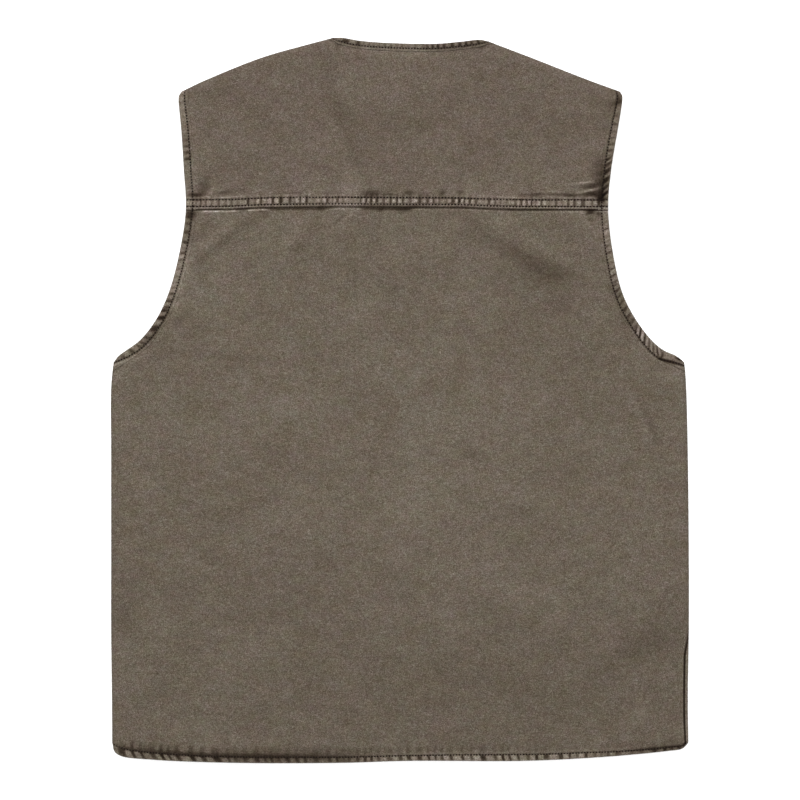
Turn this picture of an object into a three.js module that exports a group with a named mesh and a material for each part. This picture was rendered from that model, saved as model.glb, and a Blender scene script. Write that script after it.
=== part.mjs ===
// A sleeveless canvas work vest that lies flat on its front, with its back up.
// Millimetres. X runs across the back, Y towards the neck, Z up from the surface that it lies on.
// The cloth is a thin shell: a back layer and a front layer that meet in folds at the sides and shoulders.

import * as THREE from 'three';

// Cloth and hems.
const CLOTH = 1.2;
const HEM_CLOTH = 2.6;
const HEM_PROUD = 0.5;
const SEAM_GAP = 0.5;
const SIDE_SEAM_GAP = 0.8;
const ARMHOLE_HEM = 7;
const NECK_HEM = 6.5;
const BOTTOM_HEM = 9;
const HEM_TURN = 20;

// The yoke laps over the top of the back panel, and its edge bows up in the middle.
const YOKE_EDGE_Y = 190.5;
const YOKE_BOW = 2.6;
const YOKE_LAP = 11;
const LAP_CLEAR = 0.3;
const YOKE_LIFT = CLOTH + LAP_CLEAR;
const YOKE_SETTLE = { from: YOKE_LAP + 1, over: 10 };

// Heights of the lying vest: the outermost line of its folds, its open edges and its middle.
const FOLD_HEIGHT = 6;
const FOLD_REACH = 7;
const EDGE_HEIGHT = 12;
const CROWN_HEIGHT = 15;
const CROWN_REACH = 130;

// The hidden front: a shallow V neck, deeper armholes and a zip that closes it.
const SHOULDER_SEAM = 10;
const FRONT_SCOOP = 16;
const FRONT_HEM_RISE = 4;
const FRONT_HEM_BLEND = 60;
const V_BOTTOM_Y = 168;
const FRONT_EDGE_X = 4.3;
const ZIP_TAPE = { width: 7.8, low: 0.6, high: 1.8 };
const ZIP_TEETH = { width: 4.2, low: 0, high: 2.4 };
const ZIP_BOTTOM_Y = -356;

// Armhole edges from the underarm to the shoulder tip.
const ARMHOLES = [
  { y: 38, left: -286, right: 284 },
  { y: 44, left: -282, right: 276 },
  { y: 50, left: -274, right: 264 },
  { y: 60, left: -260, right: 252 },
  { y: 80, left: -244, right: 236 },
  { y: 105, left: -232, right: 223 },
  { y: 140, left: -222, right: 214 },
  { y: 190, left: -214, right: 208 },
  { y: 230, left: -216, right: 211 },
  { y: 270, left: -218, right: 217 },
  { y: 306, left: -220, right: 221.5 },
];

// Side folds from the underarm to the corner of the hem.
const SIDES = [
  { y: 38, left: -286, right: 284 },
  { y: 16, left: -288.3, right: 285.6 },
  { y: -55, left: -288.4, right: 287.4 },
  { y: -160, left: -288.4, right: 288.4 },
  { y: -230, left: -288.4, right: 288.4 },
  { y: -300, left: -287.6, right: 287.4 },
  { y: -343, left: -287.4, right: 288 },
];

// Shoulder folds from the tip to the neck, the left one bowed and the right one straight.
const LEFT_SHOULDER = [
  { x: -220, y: 306 },
  { x: -200, y: 317.5 },
  { x: -140, y: 341.4 },
  { x: -95, y: 354.4 },
  { x: -66, y: 362 },
];
const RIGHT_SHOULDER = [
  { x: 221.5, y: 306 },
  { x: 190, y: 318.4 },
  { x: 130, y: 342.4 },
  { x: 87.5, y: 358.5 },
];

// Back neck edge, and the bottom edge of the back with its rounded corners.
const NECK = [
  { x: -66, y: 362 },
  { x: -58, y: 362 },
  { x: -40, y: 359 },
  { x: -15, y: 357 },
  { x: 35, y: 356 },
  { x: 60, y: 358 },
  { x: 80, y: 360 },
  { x: 87.5, y: 358.5 },
];
const HEM = [
  { x: -287.4, y: -343 },
  { x: -285.5, y: -351 },
  { x: -279, y: -356 },
  { x: -245, y: -360 },
  { x: -170, y: -363 },
  { x: -60, y: -363 },
  { x: 10, y: -361 },
  { x: 125, y: -361 },
  { x: 205, y: -357 },
  { x: 268, y: -351 },
  { x: 282, y: -348.5 },
  { x: 288, y: -343 },
];

// The right side seam rolls on to the back towards the hem: its angle round the fold.
const SEAM_ROLL = [
  { y: -228, degrees: 0 },
  { y: -248, degrees: 45 },
  { y: -320, degrees: 45 },
  { y: -342, degrees: 0 },
];

// Dents and soft ridges of the back: centre, half sizes, turn and rise.
const DENTS = [
  { x: 199, y: 213, across: 5, along: 14, degrees: -15, rise: -1.3 },
  { x: 186, y: 214, across: 5, along: 12, degrees: -25, rise: 0.8 },
  { x: -194, y: 210, across: 7, along: 10, degrees: 20, rise: -0.9 },
  { x: 150, y: 120, across: 40, along: 90, degrees: -28, rise: 0.9 },
  { x: -160, y: 90, across: 36, along: 80, degrees: 30, rise: -0.8 },
  { x: -60, y: -150, across: 60, along: 110, degrees: 12, rise: 0.8 },
  { x: 120, y: -220, across: 45, along: 90, degrees: -8, rise: -0.7 },
];

// Where the cloth is divided: down the side folds, up the yoke, across the shoulders and neck, round a fold.
const SIDE_STATIONS = [0, 0.03, 0.09, 0.22, 0.38, 0.54, 0.66, 0.71, 0.765, 0.86, 0.962, 1];
const YOKE_ROWS = [0, 0.04, 0.08, 0.115, 0.15, 0.21, 0.35, 0.5, 0.65, 0.8, 0.92, 1];
const FRONT_COLUMNS = 8;
const FRONT_COLUMN_EASE = 0.7;
const SHOULDER_COLUMNS = 7;
const TURN_STEPS = 5;

// Stations along a hem: angles round a fold, lengths just past it, and even steps between.
const PAST_FOLD = [12, 18, 26];
const ARMHOLE_STEPS = 17;
const NECK_STEPS = 9;
const FRONT_NECK_STEPS = 9;
const HEM_STEPS = 17;
const LINE_STEPS = 300;
const STATION_CLEAR = 3;
const V_CLEAR = 4;

const smooth = (t) => THREE.MathUtils.smoothstep(t, 0, 1);
const radians = THREE.MathUtils.degToRad;
const reachAt = (angle) => FOLD_REACH * (1 - Math.cos(angle));
const fractions = (steps) => Array.from({ length: steps + 1 }, (_, k) => k / steps);

// A line walked by its length, with the cloth on one side of it.
class ClothLine {
  constructor(spots, clothSide) {
    this.clothSide = clothSide;
    this.spots = spots;
    this.marks = [0];
    for (let k = 1; k < spots.length; k += 1) {
      this.marks.push(this.marks[k - 1] + spots[k].distanceTo(spots[k - 1]));
    }
    this.length = this.marks.at(-1);
    this.ends = [];
  }

  // A smooth line through the rows of a table.
  static through(rows, clothSide) {
    const stops = rows.map((row) => new THREE.Vector3(row.x, row.y, 0));
    const curve = new THREE.CatmullRomCurve3(stops, false, 'centripetal');
    const spots = curve.getSpacedPoints(LINE_STEPS).map((spot) => new THREE.Vector2(spot.x, spot.y));
    return new ClothLine(spots, clothSide);
  }

  span(s) {
    let k = 1;
    while (k < this.marks.length - 1 && this.marks[k] < s) {
      k += 1;
    }
    return k;
  }

  at(s) {
    const k = this.span(s);
    const part = (s - this.marks[k - 1]) / (this.marks[k] - this.marks[k - 1]);
    return this.spots[k - 1].clone().lerp(this.spots[k], part);
  }

  direction(s) {
    const k = this.span(s);
    return this.spots[k].clone().sub(this.spots[k - 1]).normalize();
  }

  inward(s) {
    const ahead = this.direction(s);
    return new THREE.Vector2(-ahead.y * this.clothSide, ahead.x * this.clothSide);
  }

  offset(s, distance) {
    return this.at(s).addScaledVector(this.inward(s), distance);
  }

  // Nearest place on the line to a point: how far along it, and how far away.
  foot(point) {
    const best = { s: 0, distance: Infinity };
    for (let k = 1; k < this.spots.length; k += 1) {
      const from = this.spots[k - 1];
      const stepX = this.spots[k].x - from.x;
      const stepY = this.spots[k].y - from.y;
      const ahead = (point.x - from.x) * stepX + (point.y - from.y) * stepY;
      const part = THREE.MathUtils.clamp(ahead / (stepX * stepX + stepY * stepY), 0, 1);
      const distance = Math.hypot(from.x + part * stepX - point.x, from.y + part * stepY - point.y);
      if (distance < best.distance) {
        best.distance = distance;
        best.s = THREE.MathUtils.lerp(this.marks[k - 1], this.marks[k], part);
      }
    }
    return best;
  }

  // The hem on this edge follows a fold where it wraps round one, at its start or its end.
  wrapsRound(s, along) {
    this.ends.push({ s, along });
    return this;
  }

  // Gives the edge a hem of one width, with stations close together where it wraps round a fold.
  hemmed(width, steps) {
    const turns = fractions(TURN_STEPS).map((f) => reachAt((f * Math.PI) / 2));
    const near = [...turns, ...PAST_FOLD];
    const starts = this.ends.some((end) => end.s === 0) ? near : [0];
    const finishes = this.ends.some((end) => end.s > 0) ? near : [0];
    const from = starts.at(-1);
    const to = this.length - finishes.at(-1);
    const middle = fractions(steps).slice(1, -1).map((f) => THREE.MathUtils.lerp(from, to, f));
    this.hemWidth = width;
    this.stations = [...starts, ...middle, ...finishes.map((s) => this.length - s).reverse()];
    const dense = fractions(LINE_STEPS).map((f) => this.panelPoint(f * this.length));
    this.panelLine = new ClothLine(dense, this.clothSide);
    return this;
  }

  // A point across the hem: square to the edge, and along the fold where it wraps round one.
  hemPoint(s, distance) {
    const way = this.inward(s);
    for (const end of this.ends) {
      way.lerp(end.along, 1 - smooth(Math.abs(s - end.s) / HEM_TURN));
    }
    return this.at(s).addScaledVector(way.normalize(), distance);
  }

  // Where the panel starts, just past the hem.
  panelPoint(s) {
    return this.hemPoint(s, this.hemWidth + SEAM_GAP);
  }

  // Points where the panel starts, at the hem's own stations between two lengths.
  panelPoints(from, to) {
    return this.stations.filter((s) => s > from && s < to).map((s) => this.panelPoint(s));
  }

  // Where the panel's edge is a given distance from a fold: the length along the fold and along this edge.
  crossing(foldLine, distance) {
    const feet = this.panelLine.spots.map((spot) => foldLine.foot(spot));
    const last = feet.length - 1;
    const fromStart = feet[0].distance < feet[last].distance;
    const order = fractions(last).map((_, k) => (fromStart ? k : last - k));
    const next = order.findIndex((k, place) => place > 0 && feet[k].distance >= distance);
    const [before, after] = [order[next - 1], order[next]];
    const gained = feet[after].distance - feet[before].distance;
    const part = Math.max((distance - feet[before].distance) / gained, 0);
    return {
      onFold: THREE.MathUtils.lerp(feet[before].s, feet[after].s, part),
      onEdge: (THREE.MathUtils.lerp(before, after, part) / last) * this.length,
    };
  }

  // The length along the edge at which the panel beside it reaches a height.
  lengthAtHeight(y) {
    const spots = this.panelLine.spots;
    const k = spots.findIndex((spot) => spot.y >= y);
    const part = (y - spots[k - 1].y) / (spots[k].y - spots[k - 1].y);
    return ((k - 1 + part) / (spots.length - 1)) * this.length;
  }
}

// The folds, walked from the underarm to the hem and from the shoulder tip to the neck.
const fold = {
  left: ClothLine.through(SIDES.map((row) => ({ x: row.left, y: row.y })), 1),
  right: ClothLine.through(SIDES.map((row) => ({ x: row.right, y: row.y })), -1),
  leftShoulder: ClothLine.through(LEFT_SHOULDER, -1),
  rightShoulder: ClothLine.through(RIGHT_SHOULDER, 1),
};
const folds = Object.values(fold);
const startWay = (line) => line.direction(0);
const endWay = (line) => line.direction(line.length).negate();

// The front armhole follows the back one from the underarm to the tip, scooped inwards between them.
function scooped(rows, inwardX) {
  const last = rows.length - 1;
  const scoop = (k) => inwardX * FRONT_SCOOP * Math.sin((Math.PI * k) / last);
  return rows.map((row, k) => ({ x: row.x + scoop(k), y: row.y }));
}

function armholeEdge(rows, clothSide, side, shoulder) {
  const edge = ClothLine.through(rows, clothSide);
  edge.wrapsRound(0, startWay(side)).wrapsRound(edge.length, startWay(shoulder));
  return edge.hemmed(ARMHOLE_HEM, ARMHOLE_STEPS);
}

// The front hem is a little higher than the back one, so that the back hides it.
function frontHemRows() {
  const first = HEM[0].x;
  const last = HEM.at(-1).x;
  return HEM.map((row) => {
    const fromCorner = Math.min(row.x - first, last - row.x);
    return { x: row.x, y: row.y + FRONT_HEM_RISE * smooth(fromCorner / FRONT_HEM_BLEND) };
  });
}

function hemEdge(rows) {
  const edge = ClothLine.through(rows, 1);
  edge.wrapsRound(0, endWay(fold.left)).wrapsRound(edge.length, endWay(fold.right));
  return edge.hemmed(BOTTOM_HEM, HEM_STEPS);
}

function backNeckEdge() {
  const edge = ClothLine.through(NECK, -1);
  edge.wrapsRound(0, endWay(fold.leftShoulder)).wrapsRound(edge.length, endWay(fold.rightShoulder));
  return edge.hemmed(NECK_HEM, NECK_STEPS);
}

function frontNeckEdge(shoulder, sideX, clothSide) {
  const rows = [shoulder.at(shoulder.length), { x: sideX * FRONT_EDGE_X, y: V_BOTTOM_Y }];
  const edge = ClothLine.through(rows, clothSide).wrapsRound(0, endWay(shoulder));
  return edge.hemmed(NECK_HEM, FRONT_NECK_STEPS);
}

const leftRows = ARMHOLES.map((row) => ({ x: row.left, y: row.y }));
const rightRows = ARMHOLES.map((row) => ({ x: row.right, y: row.y }));

// Open edges of the back layer and of the front layer.
const back = {
  left: armholeEdge(leftRows, -1, fold.left, fold.leftShoulder),
  right: armholeEdge(rightRows, 1, fold.right, fold.rightShoulder),
  neck: backNeckEdge(),
  hem: hemEdge(HEM),
};
const front = {
  left: armholeEdge(scooped(leftRows, 1), -1, fold.left, fold.leftShoulder),
  right: armholeEdge(scooped(rightRows, -1), 1, fold.right, fold.rightShoulder),
  leftNeck: frontNeckEdge(fold.leftShoulder, -1, -1),
  rightNeck: frontNeckEdge(fold.rightShoulder, 1, 1),
  hem: hemEdge(frontHemRows()),
};
const outline = [...folds, back.left, back.right, back.neck, back.hem];

function nearest(lines, point) {
  return Math.min(...lines.map((line) => line.foot(point).distance));
}

function dentsAt(point) {
  let rise = 0;
  for (const dent of DENTS) {
    const turn = radians(dent.degrees);
    const from = new THREE.Vector2(point.x - dent.x, point.y - dent.y).rotateAround(new THREE.Vector2(), -turn);
    rise += dent.rise * Math.exp(-((from.x / dent.across) ** 2) - (from.y / dent.along) ** 2);
  }
  return rise;
}

// Height of the back's outer face, low at the edges and higher in the middle.
function backHeight(point) {
  const crown = smooth(nearest(outline, point) / CROWN_REACH);
  return EDGE_HEIGHT + (CROWN_HEIGHT - EDGE_HEIGHT) * crown + dentsAt(point);
}

// How far the cloth has turned from a fold: 0 on the fold, 1 where it lies level.
function turnFrom(point) {
  const near = Math.min(nearest(folds, point) / FOLD_REACH, 1);
  return Math.sqrt(1 - (1 - near) ** 2);
}

// A place in the middle of the cloth. The turn is 1 on the back, -1 on the front and 0 on a fold.
function clothPoint(point, turn, thickness, lift = 0) {
  const rise = turn > 0 ? backHeight(point) + lift - thickness / 2 - FOLD_HEIGHT : FOLD_HEIGHT - thickness / 2;
  return new THREE.Vector3(point.x, point.y, FOLD_HEIGHT + turn * rise);
}

const backPoint = (point, lift = 0) => clothPoint(point, turnFrom(point), CLOTH, lift);
const frontPoint = (point) => clothPoint(point, -turnFrom(point), CLOTH);

// A point of cloth that turns round a fold, part of the way between the hems at the fold's two ends.
function turningPoint(foldLine, startEdge, endEdge, part, distance) {
  const from = startEdge.crossing(foldLine, distance).onFold;
  const to = endEdge.crossing(foldLine, distance).onFold;
  return foldLine.offset(THREE.MathUtils.lerp(from, to, part), distance);
}

// A grid of points between four boundary lines, each given at the grid's own divisions.
function between(left, right, bottom, top, columnParts, rowParts) {
  const blend = (k, c) => {
    const u = columnParts[c];
    const v = rowParts[k];
    const last = rowParts.length - 1;
    const point = new THREE.Vector2();
    point.addScaledVector(left[k], 1 - u).addScaledVector(right[k], u);
    point.addScaledVector(bottom[c], 1 - v).addScaledVector(top[c], v);
    point.addScaledVector(left[0], -(1 - u) * (1 - v)).addScaledVector(right[0], -u * (1 - v));
    return point.addScaledVector(left[last], -(1 - u) * v).addScaledVector(right[last], -u * v);
  };
  return rowParts.map((_, k) => columnParts.map((__, c) => blend(k, c)));
}

const heightParts = (line) => line.map((point) => (point.y - line[0].y) / (line.at(-1).y - line[0].y));
const widthParts = (line) => line.map((point) => (point.x - line[0].x) / (line.at(-1).x - line[0].x));

// A solid sheet round a grid of middle points. Cells with a missing corner stay open.
function sheetSolid(grid, thickness, closed = false) {
  const rows = grid.length;
  const columns = grid[0].length;
  const pick = (r, c) => grid[r]?.[closed ? (c + columns) % columns : c] ?? null;
  const corners = [];
  const index = new Map();
  for (let r = 0; r < rows; r += 1) {
    for (let c = 0; c < columns; c += 1) {
      const point = pick(r, c);
      if (point) {
        const alongRow = (pick(r, c + 1) ?? point).clone().sub(pick(r, c - 1) ?? point);
        const alongColumn = (pick(r + 1, c) ?? point).clone().sub(pick(r - 1, c) ?? point);
        const out = alongRow.cross(alongColumn).setLength(thickness / 2);
        index.set(r * columns + c, corners.length / 2);
        corners.push(point.clone().add(out), point.clone().sub(out));
      }
    }
  }
  const outer = (r, c) => 2 * index.get(r * columns + (c % columns));
  const whole = (r, c) => pick(r, c) && pick(r, c + 1) && pick(r + 1, c) && pick(r + 1, c + 1);
  const isCell = (r, c) => r >= 0 && r < rows - 1 && (closed || (c >= 0 && c < columns - 1)) && whole(r, c);
  const triangles = [];
  const quad = (a, b, c, d) => triangles.push(a, b, c, a, c, d);
  for (let r = 0; r < rows - 1; r += 1) {
    for (let c = 0; c < (closed ? columns : columns - 1); c += 1) {
      if (isCell(r, c)) {
        const ring = [outer(r, c), outer(r, c + 1), outer(r + 1, c + 1), outer(r + 1, c)];
        quad(...ring);
        quad(ring[3] + 1, ring[2] + 1, ring[1] + 1, ring[0] + 1);
        const neighbours = [isCell(r - 1, c), isCell(r, c + 1), isCell(r + 1, c), isCell(r, c - 1)];
        neighbours.forEach((joined, k) => {
          if (!joined) {
            const from = ring[k];
            const to = ring[(k + 1) % 4];
            quad(to, from, from + 1, to + 1);
          }
        });
      }
    }
  }
  const geometry = new THREE.BufferGeometry();
  geometry.setAttribute('position', new THREE.Float32BufferAttribute(corners.flatMap((p) => p.toArray()), 3));
  geometry.setIndex(triangles);
  geometry.computeVertexNormals();
  return geometry;
}

function seamRoll(y) {
  for (let k = 1; k < SEAM_ROLL.length; k += 1) {
    const [from, to] = [SEAM_ROLL[k - 1], SEAM_ROLL[k]];
    if (y <= from.y && y >= to.y) {
      return radians(THREE.MathUtils.mapLinear(y, from.y, to.y, from.degrees, to.degrees));
    }
  }
  return 0;
}

// Columns of a panel that turn round a side fold to the side seam, from the level cloth outwards.
function sideColumns(side, layer) {
  const foldLine = fold[side];
  const halfGap = SIDE_SEAM_GAP / 2 / (EDGE_HEIGHT - FOLD_HEIGHT);
  const levelAngle = layer * (Math.PI / 2);
  const stations = [...SIDE_STATIONS].reverse();
  return fractions(TURN_STEPS).slice(1).map((f) => stations.map((station) => {
    const seamY = foldLine.at(station * foldLine.length).y;
    const seam = (side === 'right' ? seamRoll(seamY) : 0) + layer * halfGap;
    const angle = THREE.MathUtils.lerp(levelAngle, seam, f);
    const open = angle > 0 ? back : front;
    const point = turningPoint(foldLine, open[side], open.hem, station, reachAt(angle));
    return clothPoint(point, Math.sin(angle), CLOTH);
  }));
}

// The outer line of a panel's level cloth: up beside a side fold, then beside the armhole's hem to a length.
function levelSide(side, open, to) {
  const edge = open[side];
  const beside = SIDE_STATIONS.map((f) => turningPoint(fold[side], edge, open.hem, f, FOLD_REACH)).reverse();
  const from = edge.crossing(fold[side], FOLD_REACH).onEdge;
  const climb = edge.panelPoints(from + STATION_CLEAR, to - STATION_CLEAR);
  return { beside, climb: [...climb, edge.panelPoint(to)] };
}

// Puts the turned columns of a side beside the level grid, which has more rows up the armhole.
function withSide(grid, columns, atStart) {
  return grid.map((row, k) => {
    const turned = columns.map((column) => column[k] ?? null);
    return atStart ? [...turned.reverse(), ...row] : [...row, ...turned];
  });
}

function buildBackPanel() {
  const top = YOKE_EDGE_Y + YOKE_LAP;
  const sides = ['left', 'right'].map((side) => levelSide(side, back, back[side].lengthAtHeight(top)));
  const climbRows = Math.min(...sides.map((side) => side.climb.length));
  const [left, right] = sides.map((side) => [...side.beside, ...side.climb.slice(-climbRows)]);
  const hemFrom = back.hem.crossing(fold.left, FOLD_REACH).onEdge + STATION_CLEAR;
  const hemTo = back.hem.crossing(fold.right, FOLD_REACH).onEdge - STATION_CLEAR;
  const bottom = [left[0], ...back.hem.panelPoints(hemFrom, hemTo), right[0]];
  const columnParts = widthParts(bottom);
  const topLine = columnParts.map((f) => left.at(-1).clone().lerp(right.at(-1), f));
  const flat = between(left, right, bottom, topLine, columnParts, heightParts(left));
  const grid = flat.map((row) => row.map((point) => backPoint(point)));
  const withLeft = withSide(grid, sideColumns('left', 1), true);
  return sheetSolid(withSide(withLeft, sideColumns('right', 1), false), CLOTH);
}

// A front: outwards to the side fold and the armhole, inwards to the zip and the neck's hem.
function buildFront(side) {
  const sign = side === 'left' ? -1 : 1;
  const shoulder = fold[`${side}Shoulder`];
  const neck = front[`${side}Neck`];
  const armTop = front[side].crossing(shoulder, SHOULDER_SEAM);
  const neckTop = neck.crossing(shoulder, SHOULDER_SEAM);
  const { beside, climb } = levelSide(side, front, armTop.onEdge);
  const outer = [...beside, ...climb];
  const level = outer.filter((point) => point.y < V_BOTTOM_Y - V_CLEAR);
  const zipEdge = level.map((point) => new THREE.Vector2(sign * FRONT_EDGE_X, point.y));
  const fan = fractions(outer.length - level.length - 1);
  const neckLine = fan.map((f) => neck.panelPoint(THREE.MathUtils.lerp(neck.length, neckTop.onEdge, f)));
  neckLine[0].y -= SEAM_GAP;
  const inner = [...zipEdge, ...neckLine];
  const columns = fractions(FRONT_COLUMNS);
  const seamAt = (f) => THREE.MathUtils.lerp(armTop.onFold, neckTop.onFold, f);
  const top = columns.map((f) => shoulder.offset(seamAt(f), SHOULDER_SEAM));
  const hemFrom = front.hem.crossing(fold[side], FOLD_REACH).onEdge;
  const hemMiddle = front.hem.at(front.hem.length / 2);
  const hemTo = front.hem.foot(hemMiddle.setX(sign * FRONT_EDGE_X)).s;
  const hemAt = (f) => THREE.MathUtils.lerp(hemFrom, hemTo, f ** FRONT_COLUMN_EASE);
  const bottom = columns.map((f) => front.hem.panelPoint(hemAt(f)));
  bottom[FRONT_COLUMNS].x = sign * FRONT_EDGE_X;
  bottom[0] = outer[0];
  inner[0] = bottom[FRONT_COLUMNS];
  outer[outer.length - 1] = top[0];
  inner[inner.length - 1] = top[FRONT_COLUMNS];
  const flat = between(outer, inner, bottom, top, columns, heightParts(outer));
  const grid = flat.map((row) => row.map((point) => frontPoint(point)));
  return sheetSolid(withSide(grid, sideColumns(side, -1), true), CLOTH);
}

// The top line of the level yoke: along one shoulder, the neck and the other shoulder.
function yokeTopLine() {
  const shoulderLine = (side) => fractions(SHOULDER_COLUMNS).map((f) => {
    return turningPoint(fold[`${side}Shoulder`], back[side], back.neck, f, FOLD_REACH);
  });
  const from = back.neck.crossing(fold.leftShoulder, FOLD_REACH).onEdge;
  const to = back.neck.crossing(fold.rightShoulder, FOLD_REACH).onEdge;
  const neck = back.neck.panelPoints(from + STATION_CLEAR, to - STATION_CLEAR);
  return [...shoulderLine('left'), ...neck, ...shoulderLine('right').reverse()];
}

// The yoke is raised where it laps over the back panel, and settles to the back's own height above that.
function yokeLift(point) {
  return YOKE_LIFT * (1 - smooth((point.y - YOKE_EDGE_Y - YOKE_SETTLE.from) / YOKE_SETTLE.over));
}

// Rows of the yoke that go over the shoulders to the seam on the front.
function shoulderRows(columns) {
  const angles = fractions(2 * TURN_STEPS).slice(1).map((f) => Math.PI * (0.5 - f));
  const turns = angles.map((angle) => ({ turn: Math.sin(angle), distance: reachAt(angle) }));
  return [...turns, { turn: -1, distance: SHOULDER_SEAM - SEAM_GAP }].map(({ turn, distance }) => {
    const row = Array(columns).fill(null);
    for (const side of ['left', 'right']) {
      const tip = turn >= 0 ? back[side] : front[side];
      const neck = turn >= 0 ? back.neck : front[`${side}Neck`];
      fractions(SHOULDER_COLUMNS).forEach((f, k) => {
        const column = side === 'left' ? k : columns - 1 - k;
        const point = turningPoint(fold[`${side}Shoulder`], tip, neck, f, distance);
        row[column] = clothPoint(point, turn, CLOTH);
      });
    }
    return row;
  });
}

function buildYoke() {
  const top = yokeTopLine();
  const edge = (side) => {
    const from = back[side].lengthAtHeight(YOKE_EDGE_Y);
    const to = back[side].crossing(fold[`${side}Shoulder`], FOLD_REACH).onEdge;
    return YOKE_ROWS.map((f) => back[side].panelPoint(THREE.MathUtils.lerp(from, to, f)));
  };
  const left = edge('left');
  const right = edge('right');
  left[left.length - 1] = top[0];
  right[right.length - 1] = top.at(-1);
  const columnParts = widthParts(top);
  const bowed = (f) => new THREE.Vector2(0, YOKE_BOW * 4 * f * (1 - f));
  const bottom = columnParts.map((f) => left[0].clone().lerp(right[0], f).add(bowed(f)));
  const flat = between(left, right, bottom, top, columnParts, YOKE_ROWS);
  const grid = flat.map((row) => row.map((point) => backPoint(point, yokeLift(point))));
  return sheetSolid([...grid, ...shoulderRows(top.length)], CLOTH);
}

// A stretch of hem on one layer, as pairs of points on its edge and on its inner side.
function hemStretch(edge, layer) {
  const atFold = (s) => edge.ends.some((end) => end.s === s);
  const place = (s, distance) => {
    const point = edge.hemPoint(s, distance);
    return clothPoint(point, atFold(s) ? 0 : layer * turnFrom(point), HEM_CLOTH, HEM_PROUD);
  };
  return edge.stations.map((s) => [place(s, 0), place(s, edge.hemWidth)]);
}

// Joins stretches of hem end to end, leaving out the shared pair where two of them meet on a fold.
function hemSolid(stretches, closed) {
  const pairs = stretches.flatMap((stretch, k) => (k === 0 ? stretch : stretch.slice(1)));
  const ring = closed ? pairs.slice(0, -1) : pairs;
  return sheetSolid([ring.map((pair) => pair[0]), ring.map((pair) => pair[1])], HEM_CLOTH, closed);
}

function buildArmholeHem(side) {
  return hemSolid([hemStretch(back[side], 1), hemStretch(front[side], -1).reverse()], true);
}

function buildNeckHem() {
  const leftFront = hemStretch(front.leftNeck, -1).reverse();
  return hemSolid([leftFront, hemStretch(back.neck, 1), hemStretch(front.rightNeck, -1)], false);
}

function buildBottomHem() {
  const under = hemStretch(front.hem, -1).reverse();
  const toZip = (pair, sign) => pair.map((point) => point.clone().setX(sign * FRONT_EDGE_X));
  const right = under.filter((pair) => pair[0].x > FRONT_EDGE_X + STATION_CLEAR);
  const left = under.filter((pair) => pair[0].x < -FRONT_EDGE_X - STATION_CLEAR);
  const leftFront = [toZip(left[0], -1), ...left];
  const rightFront = [...right, toZip(right.at(-1), 1)];
  return hemSolid([leftFront, hemStretch(back.hem, 1), rightFront], false);
}

// One plain closing strip: a tape with a raised row of teeth along its middle.
function buildZip() {
  const halfTape = ZIP_TAPE.width / 2;
  const halfTeeth = ZIP_TEETH.width / 2;
  const rightHalf = [
    [halfTeeth, ZIP_TEETH.low],
    [halfTeeth, ZIP_TAPE.low],
    [halfTape, ZIP_TAPE.low],
    [halfTape, ZIP_TAPE.high],
    [halfTeeth, ZIP_TAPE.high],
    [halfTeeth, ZIP_TEETH.high],
  ];
  const leftHalf = rightHalf.map(([x, z]) => [-x, z]).reverse();
  const section = new THREE.Shape([...rightHalf, ...leftHalf].map(([x, z]) => new THREE.Vector2(x, z)));
  const length = V_BOTTOM_Y - ZIP_BOTTOM_Y;
  const geometry = new THREE.ExtrudeGeometry(section, { depth: length, bevelEnabled: false });
  return geometry.rotateX(Math.PI / 2).translate(0, V_BOTTOM_Y, 0);
}

const CANVAS = 0x6c6156;
const CANVAS_WORN = 0x675c51;
const ZIP_BROWN = 0x463e36;
const CLOTH_ROUGHNESS = 0.92;

function piece(name, geometry, color) {
  const finish = new THREE.MeshStandardMaterial({ color, roughness: CLOTH_ROUGHNESS, metalness: 0 });
  const mesh = new THREE.Mesh(geometry, finish);
  mesh.name = name;
  return mesh;
}

const vest = new THREE.Group();
vest.name = 'work_vest';
vest.add(
  piece('back_yoke', buildYoke(), CANVAS),
  piece('back_panel', buildBackPanel(), CANVAS),
  piece('front_left', buildFront('left'), CANVAS),
  piece('front_right', buildFront('right'), CANVAS),
  piece('armhole_hem_left', buildArmholeHem('left'), CANVAS_WORN),
  piece('armhole_hem_right', buildArmholeHem('right'), CANVAS_WORN),
  piece('neck_hem', buildNeckHem(), CANVAS_WORN),
  piece('bottom_hem', buildBottomHem(), CANVAS_WORN),
  piece('front_zip', buildZip(), ZIP_BROWN),
);

export default vest;
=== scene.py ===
"""A sleeveless canvas work vest that lies flat on its front, dressed for its picture.

Sizes are in millimetres until a mesh is made. X runs across the back, Y towards the neck and
Z up from the surface that the vest lies on.
"""

import logging
import math
from dataclasses import dataclass, field
from enum import Enum
from functools import lru_cache
from typing import Callable, NamedTuple, Sequence

import bpy
import numpy as np
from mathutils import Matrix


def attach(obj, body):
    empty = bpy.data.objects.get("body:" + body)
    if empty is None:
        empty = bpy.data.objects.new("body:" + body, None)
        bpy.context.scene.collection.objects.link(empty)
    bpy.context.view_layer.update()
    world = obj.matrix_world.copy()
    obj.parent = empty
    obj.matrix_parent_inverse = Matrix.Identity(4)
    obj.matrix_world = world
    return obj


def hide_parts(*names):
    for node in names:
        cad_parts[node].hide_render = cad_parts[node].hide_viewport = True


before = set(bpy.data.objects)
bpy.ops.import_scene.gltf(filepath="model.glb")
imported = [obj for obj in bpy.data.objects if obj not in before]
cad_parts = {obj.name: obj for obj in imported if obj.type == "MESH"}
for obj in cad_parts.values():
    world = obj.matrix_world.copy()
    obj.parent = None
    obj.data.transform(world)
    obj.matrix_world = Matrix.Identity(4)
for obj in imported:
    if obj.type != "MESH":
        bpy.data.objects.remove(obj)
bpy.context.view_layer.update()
LOG = logging.getLogger("vest")

Array = np.ndarray
MM = 0.001

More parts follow.
